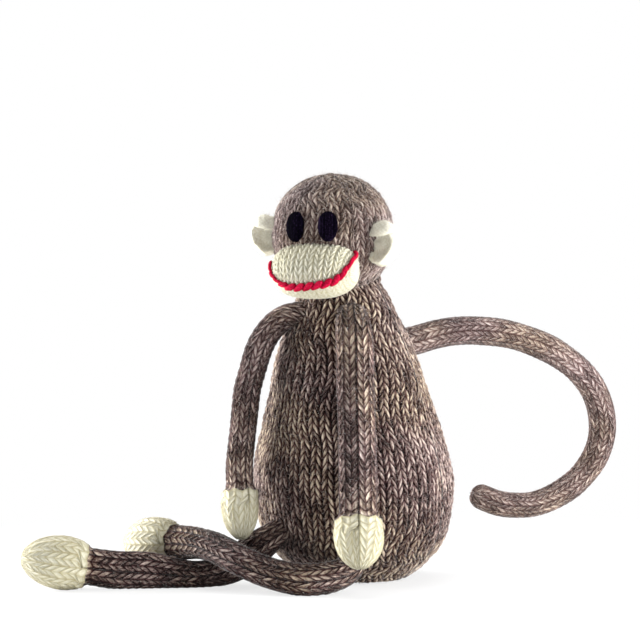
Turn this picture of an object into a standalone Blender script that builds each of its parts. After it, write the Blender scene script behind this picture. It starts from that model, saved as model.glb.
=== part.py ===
"""A knitted sock monkey doll that sits with its legs crossed, in metres with +Z up.

The doll faces -Y, its own left side is at +X, and the origin is the middle of its flat seat.
Every piece is one closed solid: the knitted covers, which are open where they are drawn
together or sewn on, the stuffing in each of them, the yarn that gathers the neck and the
crown, the stitched face, and the wire that holds the curl of the tail.
"""

import math

import bmesh
import bpy
import numpy as np

# Yarn and clearances
GAP = 0.0003
KNIT = 0.0022
SEAT_SINK = 0.0006

# Body: a pear shape turned about an upright axis that leans forward and aside to the neck
BODY_HEIGHT = 0.161
BODY_RADIUS = 0.050
NECK_LEAN_FORWARD = 0.0135
NECK_LEAN_RIGHT = 0.0017
LEAN_CURVE = 1.5
BODY_SIDES = 32
BODY_OUTLINE_SHARES = (
    (0.0, 0.48), (0.022, 0.602), (0.053, 0.718), (0.100, 0.855), (0.177, 0.956), (0.290, 1.0),
    (0.394, 0.955), (0.50, 0.855), (0.612, 0.768), (0.705, 0.682), (0.798, 0.560), (0.88, 0.446),
    (0.935, 0.36), (1.0, 0.27),
)

# Head: a ball that is squarer above its middle, with its crown tipped a little forward
HEAD_RADIUS = 0.0304
HEAD_RISE = 0.0089
HEAD_FORWARD = 0.0071
HEAD_LEFT = 0.0001
HEAD_SQUARENESS = 2.3
HEAD_TIP_DEG = 8.0
HEAD_SIDES = 32
FACE_TURN_DEG = 9.4
NECK_OPENING_RADIUS = 0.0085
NECK_YARN_RADIUS = 0.0010
NECK_RING_RADIUS = 0.0186
NECK_CREASE_SHARE = 0.907
CROWN_HOLE_RADIUS = 0.0024
CROWN_YARN_RADIUS = 0.0008

# Muzzle: a cup that bulges forward and hangs below the middle of the head
MUZZLE_HALF_WIDTH = 0.0216
MUZZLE_HALF_HEIGHT = 0.0134
MUZZLE_HALF_DEPTH = 0.0170
MUZZLE_FORWARD = 0.0243
MUZZLE_DROP = 0.0174
MUZZLE_TILT_DEG = 12.0
MUZZLE_SQUARENESS = 2.5
MOUTH_YARN_RADIUS = 0.0012
MOUTH_END_SHARE = 0.6
MOUTH_ROUTE_SHARES = (
    (-0.91, 0.34), (-0.86, 0.10), (-0.74, -0.18), (-0.58, -0.34), (-0.32, -0.34), (-0.03, -0.32),
    (0.26, -0.25), (0.50, -0.25), (0.63, -0.18), (0.75, -0.03), (0.85, 0.12), (0.90, 0.34),
)

# Eyes and ears, placed on the head by their turn from the middle of the face and their lift
EYE_TURN_DEG = 15.8
EYE_LIFT_DEG = 6.5
EYE_HALF_WIDTH = 0.0047
EYE_HALF_HEIGHT = 0.0074
EYE_BULGE = 0.0024
EYE_SIDES = 16
EYE_RING_SHARES = ((0.5, 0.0), (0.97, 0.0), (1.0, 0.10), (0.93, 0.42), (0.75, 0.71), (0.42, 0.93))
EAR_TURN_DEG = 75.0
EAR_RIGHT_LIFT_DEG = 0.0
EAR_LEFT_LIFT_DEG = -8.0
EAR_HALF_HEIGHT = 0.0102
EAR_REACH = 0.0096
EAR_HALF_THICKNESS = 0.0036
EAR_DISH_SHARES = (0.86, 0.72, 0.80)
EAR_DISH_FORWARD_SHARE = 1.42
EAR_DISH_INWARD_SHARE = 0.14

# Arms: each row is a share of the body's height, the turn from the front in degrees, and
# the distance from the body's surface as a share of the stand-off
SHOULDER_HEIGHT = 0.127
SHOULDER_RIGHT_TURN_DEG = -24.0
SHOULDER_LEFT_TURN_DEG = 38.0
ARM_HALF_WIDTH = 0.0076
ARM_HALF_THICKNESS = 0.0065
ARM_STAND_OFF = 0.010
ARM_RIGHT_ROWS = (
    (0.753, -38.6, 1.0), (0.708, -39.4, 1.2), (0.648, -39.0, 1.3), (0.587, -38.4, 1.4),
    (0.527, -36.9, 1.5), (0.438, -34.0, 1.5), (0.372, -31.0, 1.60), (0.316, -28.4, 1.68),
)
ARM_LEFT_ROWS = (
    (0.738, 35.4, 0.82), (0.681, 34.4, 0.82), (0.565, 33.0, 0.80), (0.449, 32.2, 0.80),
    (0.350, 31.4, 1.02), (0.240, 30.8, 1.75),
)
ARM_SPREAD_SHARES = (0.0, 0.5, 1.0)
HAND_LENGTH = 0.0260
HAND_HALF_WIDTH = 0.0110
HAND_HALF_THICKNESS = 0.0094
ARM_SIDES = 12

# Legs: each row has shares of the span to the side and forward, the lift as a share of the
# leg's radius, the lift as a share of the height of the crossing, and its half sizes
HIP_RIGHT_HEIGHT = 0.0265
HIP_LEFT_HEIGHT = 0.0154
HIP_RIGHT_TURN_DEG = -23.0
HIP_LEFT_TURN_DEG = 27.0
LEG_RADIUS = 0.0082
LEG_SPAN = 0.100
LEG_RIGHT_ROWS = (
    (-0.102, -0.012, 0.86, 0.0, 1.00, 1.00), (-0.182, -0.061, 0.19, 0.0, 0.92, 1.00),
    (-0.278, -0.139, 0.0, 0.0, 0.76, 1.07), (-0.373, -0.220, 0.0, 0.0, 0.84, 1.05),
    (-0.483, -0.310, 0.0, 0.0, 1.06, 0.95), (-0.593, -0.405, 0.08, 0.0, 1.09, 0.93),
    (-0.692, -0.490, 0.24, 0.0, 1.05, 0.95),
)
LEG_LEFT_ROWS = (
    (-0.102, -0.187, 0.0, 0.0, 0.95, 1.00), (-0.205, -0.245, 0.0, 0.10, 0.88, 1.00),
    (-0.320, -0.272, 0.0, 0.32, 0.84, 1.00), (-0.460, -0.286, 0.0, 0.72, 0.82, 1.00),
    (-0.600, -0.250, 0.0, 1.03, 0.82, 1.00), (-0.697, -0.218, 0.0, 1.09, 0.86, 1.00),
    (-0.795, -0.190, 0.0, 1.03, 0.96, 1.00), (-0.885, -0.178, 0.0, 0.93, 1.06, 1.00),
)
CROSSING_HALF_HEIGHT_SHARE = 0.76
FOOT_LENGTH = 0.0325
FOOT_RADIUS = 0.0120
LEG_SIDES = 12

# Tail: a curl in an upright plane, with shares of its reach outwards and upwards
TAIL_ROOT_RADIUS = 0.0086
TAIL_TIP_RADIUS = 0.0073
TAIL_SEAT_HEIGHT = 0.1136
TAIL_TURN_DEG = 34.0
TAIL_REACH = 0.125
TAIL_ROUTE_SHARES = (
    (0.0, 0.0), (0.110, 0.006), (0.240, 0.037), (0.384, 0.052), (0.530, 0.042), (0.654, 0.018),
    (0.774, -0.023), (0.870, -0.072), (0.945, -0.125), (1.010, -0.196), (1.050, -0.277),
    (1.064, -0.360), (1.057, -0.430), (1.033, -0.490), (0.994, -0.544), (0.938, -0.598),
    (0.870, -0.641), (0.790, -0.674), (0.700, -0.694), (0.605, -0.692), (0.535, -0.680),
    (0.489, -0.664), (0.457, -0.651),
)
TAIL_WIRE_RADIUS = 0.0011
TAIL_SIDES = 12
WIRE_SIDES = 6
BORE_START_SHARE = 0.6

# Rounded ends as shares of their length and width, and the hole in a sewn-on root
ROOT_HOLE_SHARE = 0.45
SEAT_STEPS = 4
YARN_SIDES = 6
MITT_OUTLINE_SHARES = (
    (0.0, 0.72), (0.10, 0.84), (0.28, 0.97), (0.48, 1.0), (0.68, 0.93), (0.84, 0.73), (0.95, 0.41),
)
TIP_OUTLINE_SHARES = ((0.30, 0.955), (0.62, 0.80), (0.88, 0.49))
LINING_REACH_SHARE = 1.6
LEAST_RING_SHARE = 0.33

UP = np.array([0.0, 0.0, 1.0])


def material(name, colour, roughness, metallic=0.0):
    """A Principled material of one colour."""
    made = bpy.data.materials.new(name)
    made.use_nodes = True
    shader = made.node_tree.nodes["Principled BSDF"]
    shader.inputs["Base Color"].default_value = (*colour, 1.0)
    shader.inputs["Roughness"].default_value = roughness
    shader.inputs["Metallic"].default_value = metallic
    return made


def object_from_mesh(name, points, faces, finish):
    """A smooth shaded object with its faces turned outwards."""
    mesh = bpy.data.meshes.new(name)
    mesh.from_pydata([tuple(map(float, point)) for point in points], [], faces)
    work = bmesh.new()
    work.from_mesh(mesh)
    bmesh.ops.recalc_face_normals(work, faces=work.faces)
    work.to_mesh(mesh)
    work.free()
    mesh.shade_smooth()
    mesh.materials.append(finish)
    made = bpy.data.objects.new(name, mesh)
    bpy.context.collection.objects.link(made)
    return made


def skin(name, rings, finish, start_pole=None, end_pole=None, joined=False):
    """One closed body through a stack of rings of equally many points.

    An end closes on its pole where one is given, and the last ring joins the first where
    the body is a tube with a bore."""
    rings = np.asarray(rings, float)
    count, sides = rings.shape[:2]
    points = list(rings.reshape(-1, 3))
    faces = []
    for row in range(count if joined else count - 1):
        here = row * sides
        there = ((row + 1) % count) * sides
        for side in range(sides):
            after = (side + 1) % sides
            faces.append((here + side, here + after, there + after, there + side))
    for pole, ring in ((start_pole, 0), (end_pole, count - 1)):
        if pole is not None:
            points.append(pole)
            first = ring * sides
            for side in range(sides):
                faces.append((first + side, first + (side + 1) % sides, len(points) - 1))
    return object_from_mesh(name, points, faces, finish)


def smooth_route(points, steps):
    """The points of a Catmull-Rom curve through the given points, with equal steps in each span."""
    points = np.asarray(points, float)
    ends = 2.0 * points[[0, -1]] - points[[1, -2]]
    knots = np.vstack([ends[:1], points, ends[1:]])
    share = (np.arange(steps) / steps)[:, None]
    spans = []
    for first in range(len(points) - 1):
        a, b, c, d = knots[first:first + 4]
        bend = (2.0 * a - 5.0 * b + 4.0 * c - d) * share ** 2
        twist = (3.0 * b - a - 3.0 * c + d) * share ** 3
        spans.append((2.0 * b + (c - a) * share + bend + twist) / 2.0)
    return np.vstack(spans + [points[-1:]])


def unit(vector):
    """The vector at length one."""
    vector = np.asarray(vector, float)
    return vector / np.linalg.norm(vector, axis=-1, keepdims=True)


def ellipse_rings(centres, across, out, half_across, half_out, sides):
    """One elliptical ring about each centre."""
    turn = np.linspace(0.0, 2.0 * math.pi, sides, endpoint=False)
    cosine, sine = np.cos(turn)[None, :, None], np.sin(turn)[None, :, None]
    across = np.broadcast_to(across, centres.shape)[:, None, :]
    out = np.broadcast_to(out, centres.shape)[:, None, :]
    half_across = np.broadcast_to(half_across, len(centres))[:, None, None]
    half_out = np.broadcast_to(half_out, len(centres))[:, None, None]
    return centres[:, None, :] + across * cosine * half_across + out * sine * half_out


def cut(piece, cutter):
    """Subtract a hidden cutter from a piece."""
    cutter.hide_render = True
    cutter.display_type = "WIRE"
    boolean = piece.modifiers.new("cut", "BOOLEAN")
    boolean.operation = "DIFFERENCE"
    boolean.solver = "EXACT"
    boolean.object = cutter


def ellipsoid(name, centre, axes, halves, finish, sides=24, squareness=2.0):
    """An ellipsoid about a centre, with the rows of axes as its directions, the last as its pole.

    A squareness above two fills its corners in the plane of the last two directions."""
    lift = np.linspace(-math.pi / 2.0, math.pi / 2.0, sides // 2 + 1)[1:-1]
    turn = np.linspace(0.0, 2.0 * math.pi, sides, endpoint=False)
    lift, turn = np.meshgrid(lift, turn, indexing="ij")
    shape = np.stack([np.cos(lift) * np.cos(turn), np.cos(lift) * np.sin(turn), np.sin(lift)], axis=-1)
    turn = np.arctan2(shape[..., 2], shape[..., 1])
    corner = np.abs(np.cos(turn)) ** squareness + np.abs(np.sin(turn)) ** squareness
    shape[..., 1:] *= corner[..., None] ** (-1.0 / squareness)
    rings = centre + (shape * halves) @ axes
    pole = halves[2] * axes[2]
    return skin(name, rings, finish, start_pole=centre - pole, end_pole=centre + pole)


def torus(name, centre, side, front, ring_radius, tube_radius, sides, finish):
    """A ring of round yarn in the plane of two directions."""
    turn = np.linspace(0.0, 2.0 * math.pi, sides, endpoint=False)[:, None]
    outward = np.cos(turn) * side + np.sin(turn) * front
    rings = ellipse_rings(centre + ring_radius * outward, outward, np.cross(side, front),
                          tube_radius, tube_radius, YARN_SIDES)
    return skin(name, rings, finish, joined=True)


# Body

def level_direction(turn_deg):
    """The level direction at a turn from the front towards the doll's left."""
    turn = math.radians(turn_deg)
    return np.array([math.sin(turn), -math.cos(turn), 0.0])


def body_axis(heights):
    """The points of the body's axis at the given heights."""
    heights = np.asarray(heights, float)
    share = np.clip(heights / BODY_HEIGHT, 0.0, None) ** LEAN_CURVE
    return np.stack([-NECK_LEAN_RIGHT * share, -NECK_LEAN_FORWARD * share, heights], axis=-1)


def body_outline():
    """The outer outline as rows of radius and height, from the rim of the seat to the neck."""
    heights_and_radii = smooth_route(BODY_OUTLINE_SHARES, 2) * (BODY_HEIGHT, BODY_RADIUS)
    return heights_and_radii[:, ::-1]


def body_radius(height):
    """The outer radius at a height."""
    outline = body_outline()
    return float(np.interp(height, outline[:, 1], outline[:, 0]))


def inset_outline(outline, depth):
    """Every second row of the outline, moved inwards by a depth and no lower than that depth."""
    along = unit(np.gradient(outline, axis=0))
    inner = outline - depth * np.stack([along[:, 1], -along[:, 0]], axis=1)
    inner[:, 1] = np.maximum(inner[:, 1], depth)
    return inner[::2]


def body_rings(outline):
    """Rings about the leaning axis for an outline."""
    side, front = np.identity(3)[:2]
    return ellipse_rings(body_axis(outline[:, 1]), side, front, outline[:, 0], outline[:, 0], BODY_SIDES)


def body_seat(height, turn_deg, root_radius):
    """The centre of a limb's round root, sunk a little into the body."""
    slope = (body_radius(height + KNIT) - body_radius(height - KNIT)) / (2.0 * KNIT)
    level = level_direction(turn_deg)
    contact = body_axis(height) + body_radius(height) * level
    return contact + (root_radius - SEAT_SINK) * unit(level - slope * UP)


def make_body(brown, filling):
    """The pear-shaped cover, open at the neck, and its stuffing."""
    outer = body_outline()
    wall = np.vstack([body_rings(outer), body_rings(inset_outline(outer, KNIT))[::-1]])
    cover = skin("body_knit", wall, brown, start_pole=0.0 * UP, end_pole=KNIT * UP)
    core = inset_outline(outer, KNIT + GAP)
    stuffing = skin("body_stuffing", body_rings(core), filling,
                    start_pole=(KNIT + GAP) * UP, end_pole=body_axis(core[-1, 1]))
    return cover, stuffing


# Head

HEAD_OFFSET = np.array([HEAD_LEFT, -HEAD_FORWARD, HEAD_RISE])
HEAD_CENTRE = body_axis(BODY_HEIGHT) + HEAD_OFFSET
FACE_FRONT = level_direction(FACE_TURN_DEG)
FACE_LEFT = np.cross(UP, FACE_FRONT)
HEAD_AXIS = unit(UP + math.tan(math.radians(HEAD_TIP_DEG)) * FACE_FRONT)
NECK_AXIS = unit(HEAD_CENTRE - body_axis(NECK_CREASE_SHARE * BODY_HEIGHT))


def square_frame(axis):
    """Two directions square to an axis and to each other, the first of them to the left."""
    side = unit(np.cross((0.0, 1.0, 0.0), axis))
    return side, np.cross(axis, side)


def head_swell(lift):
    """How much wider than a ball the head is, at a lift above its middle in radians."""
    cosine, sine = np.abs(np.cos(lift)), np.abs(np.sin(lift))
    square = (cosine ** HEAD_SQUARENESS + sine ** HEAD_SQUARENESS) ** (-1.0 / HEAD_SQUARENESS)
    return np.where(lift > 0.0, square, 1.0)


def head_rings(growth, low, high, count):
    """Rings on the head, grown by a clearance, between two lifts."""
    lift = np.linspace(low, high, count)
    reach = HEAD_RADIUS * head_swell(lift) + growth
    centres = HEAD_CENTRE + (reach * np.sin(lift))[:, None] * HEAD_AXIS
    side, back = square_frame(HEAD_AXIS)
    radius = reach * np.cos(lift)
    return ellipse_rings(centres, side, back, radius, radius, HEAD_SIDES)


def head_solid(name, growth, finish, rows=15):
    """The whole head as one solid, grown by a clearance."""
    step = math.pi / (rows + 1)
    rings = head_rings(growth, step - math.pi / 2.0, math.pi / 2.0 - step, rows)
    pole = (HEAD_RADIUS + growth) * HEAD_AXIS
    return skin(name, rings, finish, start_pole=HEAD_CENTRE - pole, end_pole=HEAD_CENTRE + pole)


def neck_ring_centre():
    """The middle of the gathering ring, which lies on the head in the crease of the neck."""
    reach = HEAD_RADIUS + GAP + NECK_YARN_RADIUS
    return HEAD_CENTRE - math.sqrt(reach ** 2 - NECK_RING_RADIUS ** 2) * NECK_AXIS


def make_head(brown, filling):
    """The head's cover, with holes at the neck and the crown, its stuffing and both drawn yarns."""
    low = math.asin(NECK_OPENING_RADIUS / HEAD_RADIUS) - math.pi / 2.0
    high = math.pi / 2.0 - math.asin(CROWN_HOLE_RADIUS / HEAD_RADIUS)
    wall = np.vstack([head_rings(0.0, low, high, 15), head_rings(-KNIT, low, high, 9)[::-1]])
    skin("head_knit", wall, brown, joined=True)
    head_solid("head_stuffing", -(KNIT + 4.0 * GAP), filling, rows=8)
    side, back = square_frame(NECK_AXIS)
    torus("neck_gather_yarn", neck_ring_centre(), side, back, NECK_RING_RADIUS,
          NECK_YARN_RADIUS, HEAD_SIDES, brown)
    crown = HEAD_CENTRE + (HEAD_RADIUS - KNIT / 2.0) * HEAD_AXIS
    side, back = square_frame(HEAD_AXIS)
    torus("crown_closing_yarn", crown, side, back, CROWN_HOLE_RADIUS - 2.0 * GAP - CROWN_YARN_RADIUS,
          CROWN_YARN_RADIUS, YARN_SIDES * 2, brown)


def make_muzzle(cream, red, filling):
    """The cream muzzle cup and its stuffing, both cut to the head, and the stitched mouth."""
    tilt = math.radians(MUZZLE_TILT_DEG)
    ahead = FACE_FRONT * math.cos(tilt) - UP * math.sin(tilt)
    above = UP * math.cos(tilt) + FACE_FRONT * math.sin(tilt)
    axes = np.array([ahead, above, FACE_LEFT])
    centre = HEAD_CENTRE + MUZZLE_FORWARD * FACE_FRONT - MUZZLE_DROP * UP
    halves = np.array([MUZZLE_HALF_DEPTH, MUZZLE_HALF_HEIGHT, MUZZLE_HALF_WIDTH])
    square = MUZZLE_SQUARENESS
    cover = ellipsoid("muzzle_knit", centre, axes, halves, cream, 24, square)
    stuffing = ellipsoid("muzzle_stuffing", centre, axes, halves - KNIT - 2.0 * GAP, filling, 16, square)
    head_cutter = head_solid("muzzle_head_cutter", GAP, cream, rows=19)
    cut(cover, ellipsoid("muzzle_hollow_cutter", centre, axes, halves - KNIT, cream, 16, square))
    cut(cover, head_cutter)
    cut(stuffing, head_cutter)

    side_and_up = smooth_route(MOUTH_ROUTE_SHARES, 2)
    corner = np.sum(np.abs(side_and_up) ** square, axis=1, keepdims=True) ** (1.0 / square)
    forward = np.sqrt(np.maximum(1.0 - corner ** 2, 0.0))
    slopes = np.abs(side_and_up) ** (square - 1.0) * np.sign(side_and_up) * corner ** (2.0 - square)
    shape = np.hstack([forward, side_and_up[:, ::-1]])
    outward = unit((np.hstack([forward, slopes[:, ::-1]]) / halves) @ axes)
    route = centre + (shape * halves) @ axes + (GAP + MOUTH_YARN_RADIUS) * outward
    make_yarn_line("mouth_stitching", route, outward, MOUTH_YARN_RADIUS, red)


def make_yarn_line(name, route, outward, radius, finish):
    """A round yarn along a route on a surface, with tapered ends."""
    along = unit(np.gradient(route, axis=0))
    across = unit(np.cross(along, outward))
    taper = np.ones(len(route))
    taper[[0, -1]] = MOUTH_END_SHARE
    rings = ellipse_rings(route, across, np.cross(across, along), radius * taper, radius * taper, YARN_SIDES)
    return skin(name, rings, finish, start_pole=route[0] - along[0] * radius / 2.0,
                end_pole=route[-1] + along[-1] * radius / 2.0)


def face_direction(turn_deg, lift_deg):
    """The way out of the head at a turn from the middle of the face and a lift above it."""
    lift = math.radians(lift_deg)
    return level_direction(FACE_TURN_DEG + turn_deg) * math.cos(lift) + UP * math.sin(lift)


def head_reach(directions):
    """The distance from the middle of the head to its surface in each direction."""
    return HEAD_RADIUS * head_swell(np.arcsin(directions @ HEAD_AXIS))[..., None]


def make_eye(name, turn_deg, finish):
    """A domed oval of dark yarn that lies on the curve of the face."""
    outward = face_direction(turn_deg, EYE_LIFT_DEG)
    across = unit(np.cross(UP, outward))
    above = np.cross(outward, across)
    shares = np.asarray(EYE_RING_SHARES)
    centres = np.tile(HEAD_RADIUS * outward, (len(shares), 1))
    rings = ellipse_rings(centres, across, above, EYE_HALF_WIDTH * shares[:, 0],
                          EYE_HALF_HEIGHT * shares[:, 0], EYE_SIDES)
    directions = unit(rings)
    rise = GAP + EYE_BULGE * shares[:, 1]
    points = HEAD_CENTRE + (head_reach(directions) + rise[:, None, None]) * directions
    centre = HEAD_CENTRE + (head_reach(outward) + GAP) * outward
    skin(name, points, finish, start_pole=centre, end_pole=centre + EYE_BULGE * outward)


def make_ear(name, turn_deg, lift_deg, finish):
    """A cupped ear that stands out from the side of the head, hollowed on its front."""
    outward = face_direction(turn_deg, lift_deg)
    above = unit(UP - np.dot(UP, outward) * outward)
    ahead = np.cross(outward, above) * math.copysign(1.0, turn_deg)
    axes = np.array([outward, ahead, above])
    halves = np.array([EAR_REACH, EAR_HALF_THICKNESS, EAR_HALF_HEIGHT])
    centre = HEAD_CENTRE + HEAD_RADIUS * outward
    ear = ellipsoid(name, centre, axes, halves, finish, 16)
    dish_centre = (centre + EAR_DISH_FORWARD_SHARE * EAR_HALF_THICKNESS * ahead
                   - EAR_DISH_INWARD_SHARE * EAR_REACH * outward)
    cut(ear, head_solid(name + "_head_cutter", GAP, finish, rows=19))
    cut(ear, ellipsoid(name + "_dish_cutter", dish_centre, axes, halves * EAR_DISH_SHARES, finish, 16))


# Limbs

class Limb:
    """A route from a round root to a wrist, an ankle or a tip, with a half size each way."""

    def __init__(self, route, out, half_across, half_out, sides):
        """Frames along the route: across and out span each section."""
        self.route = np.asarray(route, float)
        self.along = unit(np.gradient(self.route, axis=0))
        self.across = unit(np.cross(self.along, np.broadcast_to(out, self.route.shape)))
        self.out = np.cross(self.across, self.along)
        self.half_across = np.broadcast_to(half_across, len(self.route))
        self.half_out = np.broadcast_to(half_out, len(self.route))
        self.root_radius = float(self.half_out[0])
        self.sides = sides

    def tube(self, depth, step=1):
        """Rings along the limb, a depth below its surface."""
        return ellipse_rings(self.route[::step], self.across[::step], self.out[::step],
                             self.half_across[::step] - depth, self.half_out[::step] - depth, self.sides)

    def root(self, depth, steps, hole_share=0.0):
        """Rings of the half ball behind the root, from its hole or near its pole to the root."""
        radius = self.root_radius - depth
        start = math.asin(hole_share) if hole_share else math.pi / (2.0 * (steps + 1))
        turn = np.linspace(start, math.pi / 2.0, steps + 1)[:-1]
        centres = self.route[0] - (radius * np.cos(turn))[:, None] * self.along[0]
        size = radius * np.sin(turn)
        return ellipse_rings(centres, self.across[0], self.out[0], size, size, self.sides)

    def root_pole(self, depth):
        """The last point behind the root, a depth below its surface."""
        return self.route[0] - (self.root_radius - depth) * self.along[0]

    def end(self, shares, reach, half_across, half_out, depth):
        """Rings past the limb's end, a depth below the surface, and the point of the tip."""
        along = np.minimum(shares[:, 0] * reach, reach - depth * LINING_REACH_SHARE)
        centres = self.route[-1] + along[:, None] * self.along[-1]
        least = LEAST_RING_SHARE * KNIT
        rings = ellipse_rings(centres, self.across[-1], self.out[-1],
                              np.maximum(half_across - depth, least),
                              np.maximum(half_out - depth, least), self.sides)
        return rings, self.route[-1] + (reach - depth) * self.along[-1]

    def seat_cutter(self, name, finish):
        """A solid round the root and the start of the limb, whose flats clear the root as it turns."""
        growth = GAP + self.root_radius * (1.0 / math.cos(math.pi / self.sides) - 1.0)
        rings = np.vstack([self.root(-growth, 2 * SEAT_STEPS), self.tube(-growth)[:SEAT_STEPS]])
        return skin(name, rings, finish, start_pole=self.root_pole(-growth),
                    end_pole=self.route[SEAT_STEPS - 1] + self.root_radius * self.along[SEAT_STEPS - 1])

    def mitt(self, length, half_across, half_out, depth):
        """Rings of a hand or foot that starts a clearance past the limb's end, and its tip."""
        shares = np.asarray(MITT_OUTLINE_SHARES)
        wide, high = half_across * shares[:, 1], half_out * shares[:, 1]
        wide[0], high[0] = self.half_across[-1], self.half_out[-1]
        rings, tip = self.end(shares, length, wide, high, depth)
        shift = GAP * self.along[-1]
        return rings + shift, tip + shift

    def tip(self, depth):
        """Rings of a rounded tip on the limb's end, and its last point."""
        shares = np.asarray(TIP_OUTLINE_SHARES)
        radius = float(self.half_out[-1]) - depth
        centres = self.route[-1] + (radius * shares[:, 0])[:, None] * self.along[-1]
        sizes = radius * shares[:, 1]
        rings = ellipse_rings(centres, self.across[-1], self.out[-1], sizes, sizes, self.sides)
        return rings, self.route[-1] + radius * self.along[-1]


def make_limb(limb, cover_name, mitt_name, mitt_sizes, cover_yarn, mitt_yarn, filling):
    """The sleeve of a limb, its cream hand or foot, and one length of stuffing in both."""
    outer = np.vstack([limb.root(0.0, 3, ROOT_HOLE_SHARE), limb.tube(0.0)])
    inner = np.vstack([limb.root(KNIT, 2, ROOT_HOLE_SHARE), limb.tube(KNIT, 2)])
    skin(cover_name, np.vstack([outer, inner[::-1]]), cover_yarn, joined=True)

    shell, tip = limb.mitt(*mitt_sizes, 0.0)
    lining, lining_tip = limb.mitt(*mitt_sizes, KNIT)
    skin(mitt_name, np.vstack([lining[::-1], shell]), mitt_yarn, start_pole=lining_tip, end_pole=tip)

    depth = KNIT + 2.0 * GAP
    fill, fill_tip = limb.mitt(*mitt_sizes, depth)
    core = np.vstack([limb.root(depth, 2), limb.tube(depth, 2)[:-1], fill])
    skin(cover_name + "_stuffing", core, filling, start_pole=limb.root_pole(depth), end_pole=fill_tip)


def arm_limb(rows, shoulder_turn_deg):
    """One arm, round at the shoulder and wider below it."""
    rows = np.asarray(rows)
    levels = np.array([level_direction(turn_deg) for turn_deg in rows[:, 1]])
    heights = rows[:, 0] * BODY_HEIGHT
    distance = np.array([body_radius(height) for height in heights]) + rows[:, 2] * ARM_STAND_OFF
    points = body_axis(heights) + distance[:, None] * levels
    pivot = body_seat(SHOULDER_HEIGHT, shoulder_turn_deg, ARM_HALF_THICKNESS)
    route = smooth_route(np.vstack([pivot, points]), 2)
    out = smooth_route(np.vstack([levels[:1], levels]), 2)
    spread = np.ones(len(route))
    spread[:len(ARM_SPREAD_SHARES)] = ARM_SPREAD_SHARES
    half_across = ARM_HALF_THICKNESS + (ARM_HALF_WIDTH - ARM_HALF_THICKNESS) * spread
    return Limb(route, out, half_across, ARM_HALF_THICKNESS, ARM_SIDES)


def leg_limb(rows, hip_height, hip_turn_deg):
    """One leg, resting on the floor except where the hip or the other leg lifts it."""
    rows = np.asarray(rows)
    pivot = body_seat(hip_height, hip_turn_deg, LEG_RADIUS)
    half_out = LEG_RADIUS * rows[:, 4]
    crossing_lift = 2.0 * LEG_RADIUS * CROSSING_HALF_HEIGHT_SHARE + GAP
    heights = GAP + half_out + rows[:, 2] * LEG_RADIUS + rows[:, 3] * crossing_lift
    plan = rows[:, :2] * LEG_SPAN + pivot[:2]
    route = smooth_route(np.vstack([pivot, np.column_stack([plan, heights])]), 2)
    halves = smooth_route(np.vstack([np.ones(2), rows[:, 4:]]), 2) * LEG_RADIUS
    return Limb(route, UP, halves[:, 1], halves[:, 0], LEG_SIDES)


def tail_limb():
    """The tail's route in its upright plane."""
    pivot = body_seat(TAIL_SEAT_HEIGHT, 180.0, TAIL_ROOT_RADIUS)
    away = -level_direction(-TAIL_TURN_DEG)
    plan = np.asarray(TAIL_ROUTE_SHARES) * TAIL_REACH
    route = pivot + plan[:, :1] * away + plan[:, 1:] * UP
    radius = np.linspace(TAIL_ROOT_RADIUS, TAIL_TIP_RADIUS, len(route))
    return Limb(route, np.cross(away, UP), radius, radius, TAIL_SIDES)


def make_tail(limb, brown, filling, wire_metal):
    """The tail's cover, its stuffing with a bore, and the wire in the bore."""
    end, tip = limb.tip(0.0)
    lining_end, lining_tip = limb.tip(KNIT)
    outer = np.vstack([limb.root(0.0, 3, ROOT_HOLE_SHARE), limb.tube(0.0), end])
    inner = np.vstack([limb.root(KNIT, 2, ROOT_HOLE_SHARE), limb.tube(KNIT, 2), lining_end])
    skin("tail_knit", np.vstack([inner[::-1], outer]), brown, start_pole=lining_tip, end_pole=tip)

    depth = KNIT + GAP
    core_end, core_tip = limb.tip(depth)
    core = np.vstack([limb.root(depth, 1, BORE_START_SHARE), limb.tube(depth, 2), core_end])
    mouth = limb.route[:1] - BORE_START_SHARE * limb.root_radius * limb.along[:1]
    centres = np.vstack([mouth, limb.route[::2]])
    across = np.vstack([limb.across[:1], limb.across[::2]])
    out = np.vstack([limb.out[:1], limb.out[::2]])
    bore_radius = TAIL_WIRE_RADIUS + GAP
    bore = ellipse_rings(centres, across, out, bore_radius, bore_radius, TAIL_SIDES)
    skin("tail_stuffing", np.vstack([bore[::-1], core]), filling,
         start_pole=limb.route[-1] + GAP * limb.along[-1], end_pole=core_tip)

    wire = ellipse_rings(centres[1:], across[1:], out[1:], TAIL_WIRE_RADIUS, TAIL_WIRE_RADIUS, WIRE_SIDES)
    skin("tail_wire", wire, wire_metal, start_pole=limb.route[0], end_pole=limb.route[-1])


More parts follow.
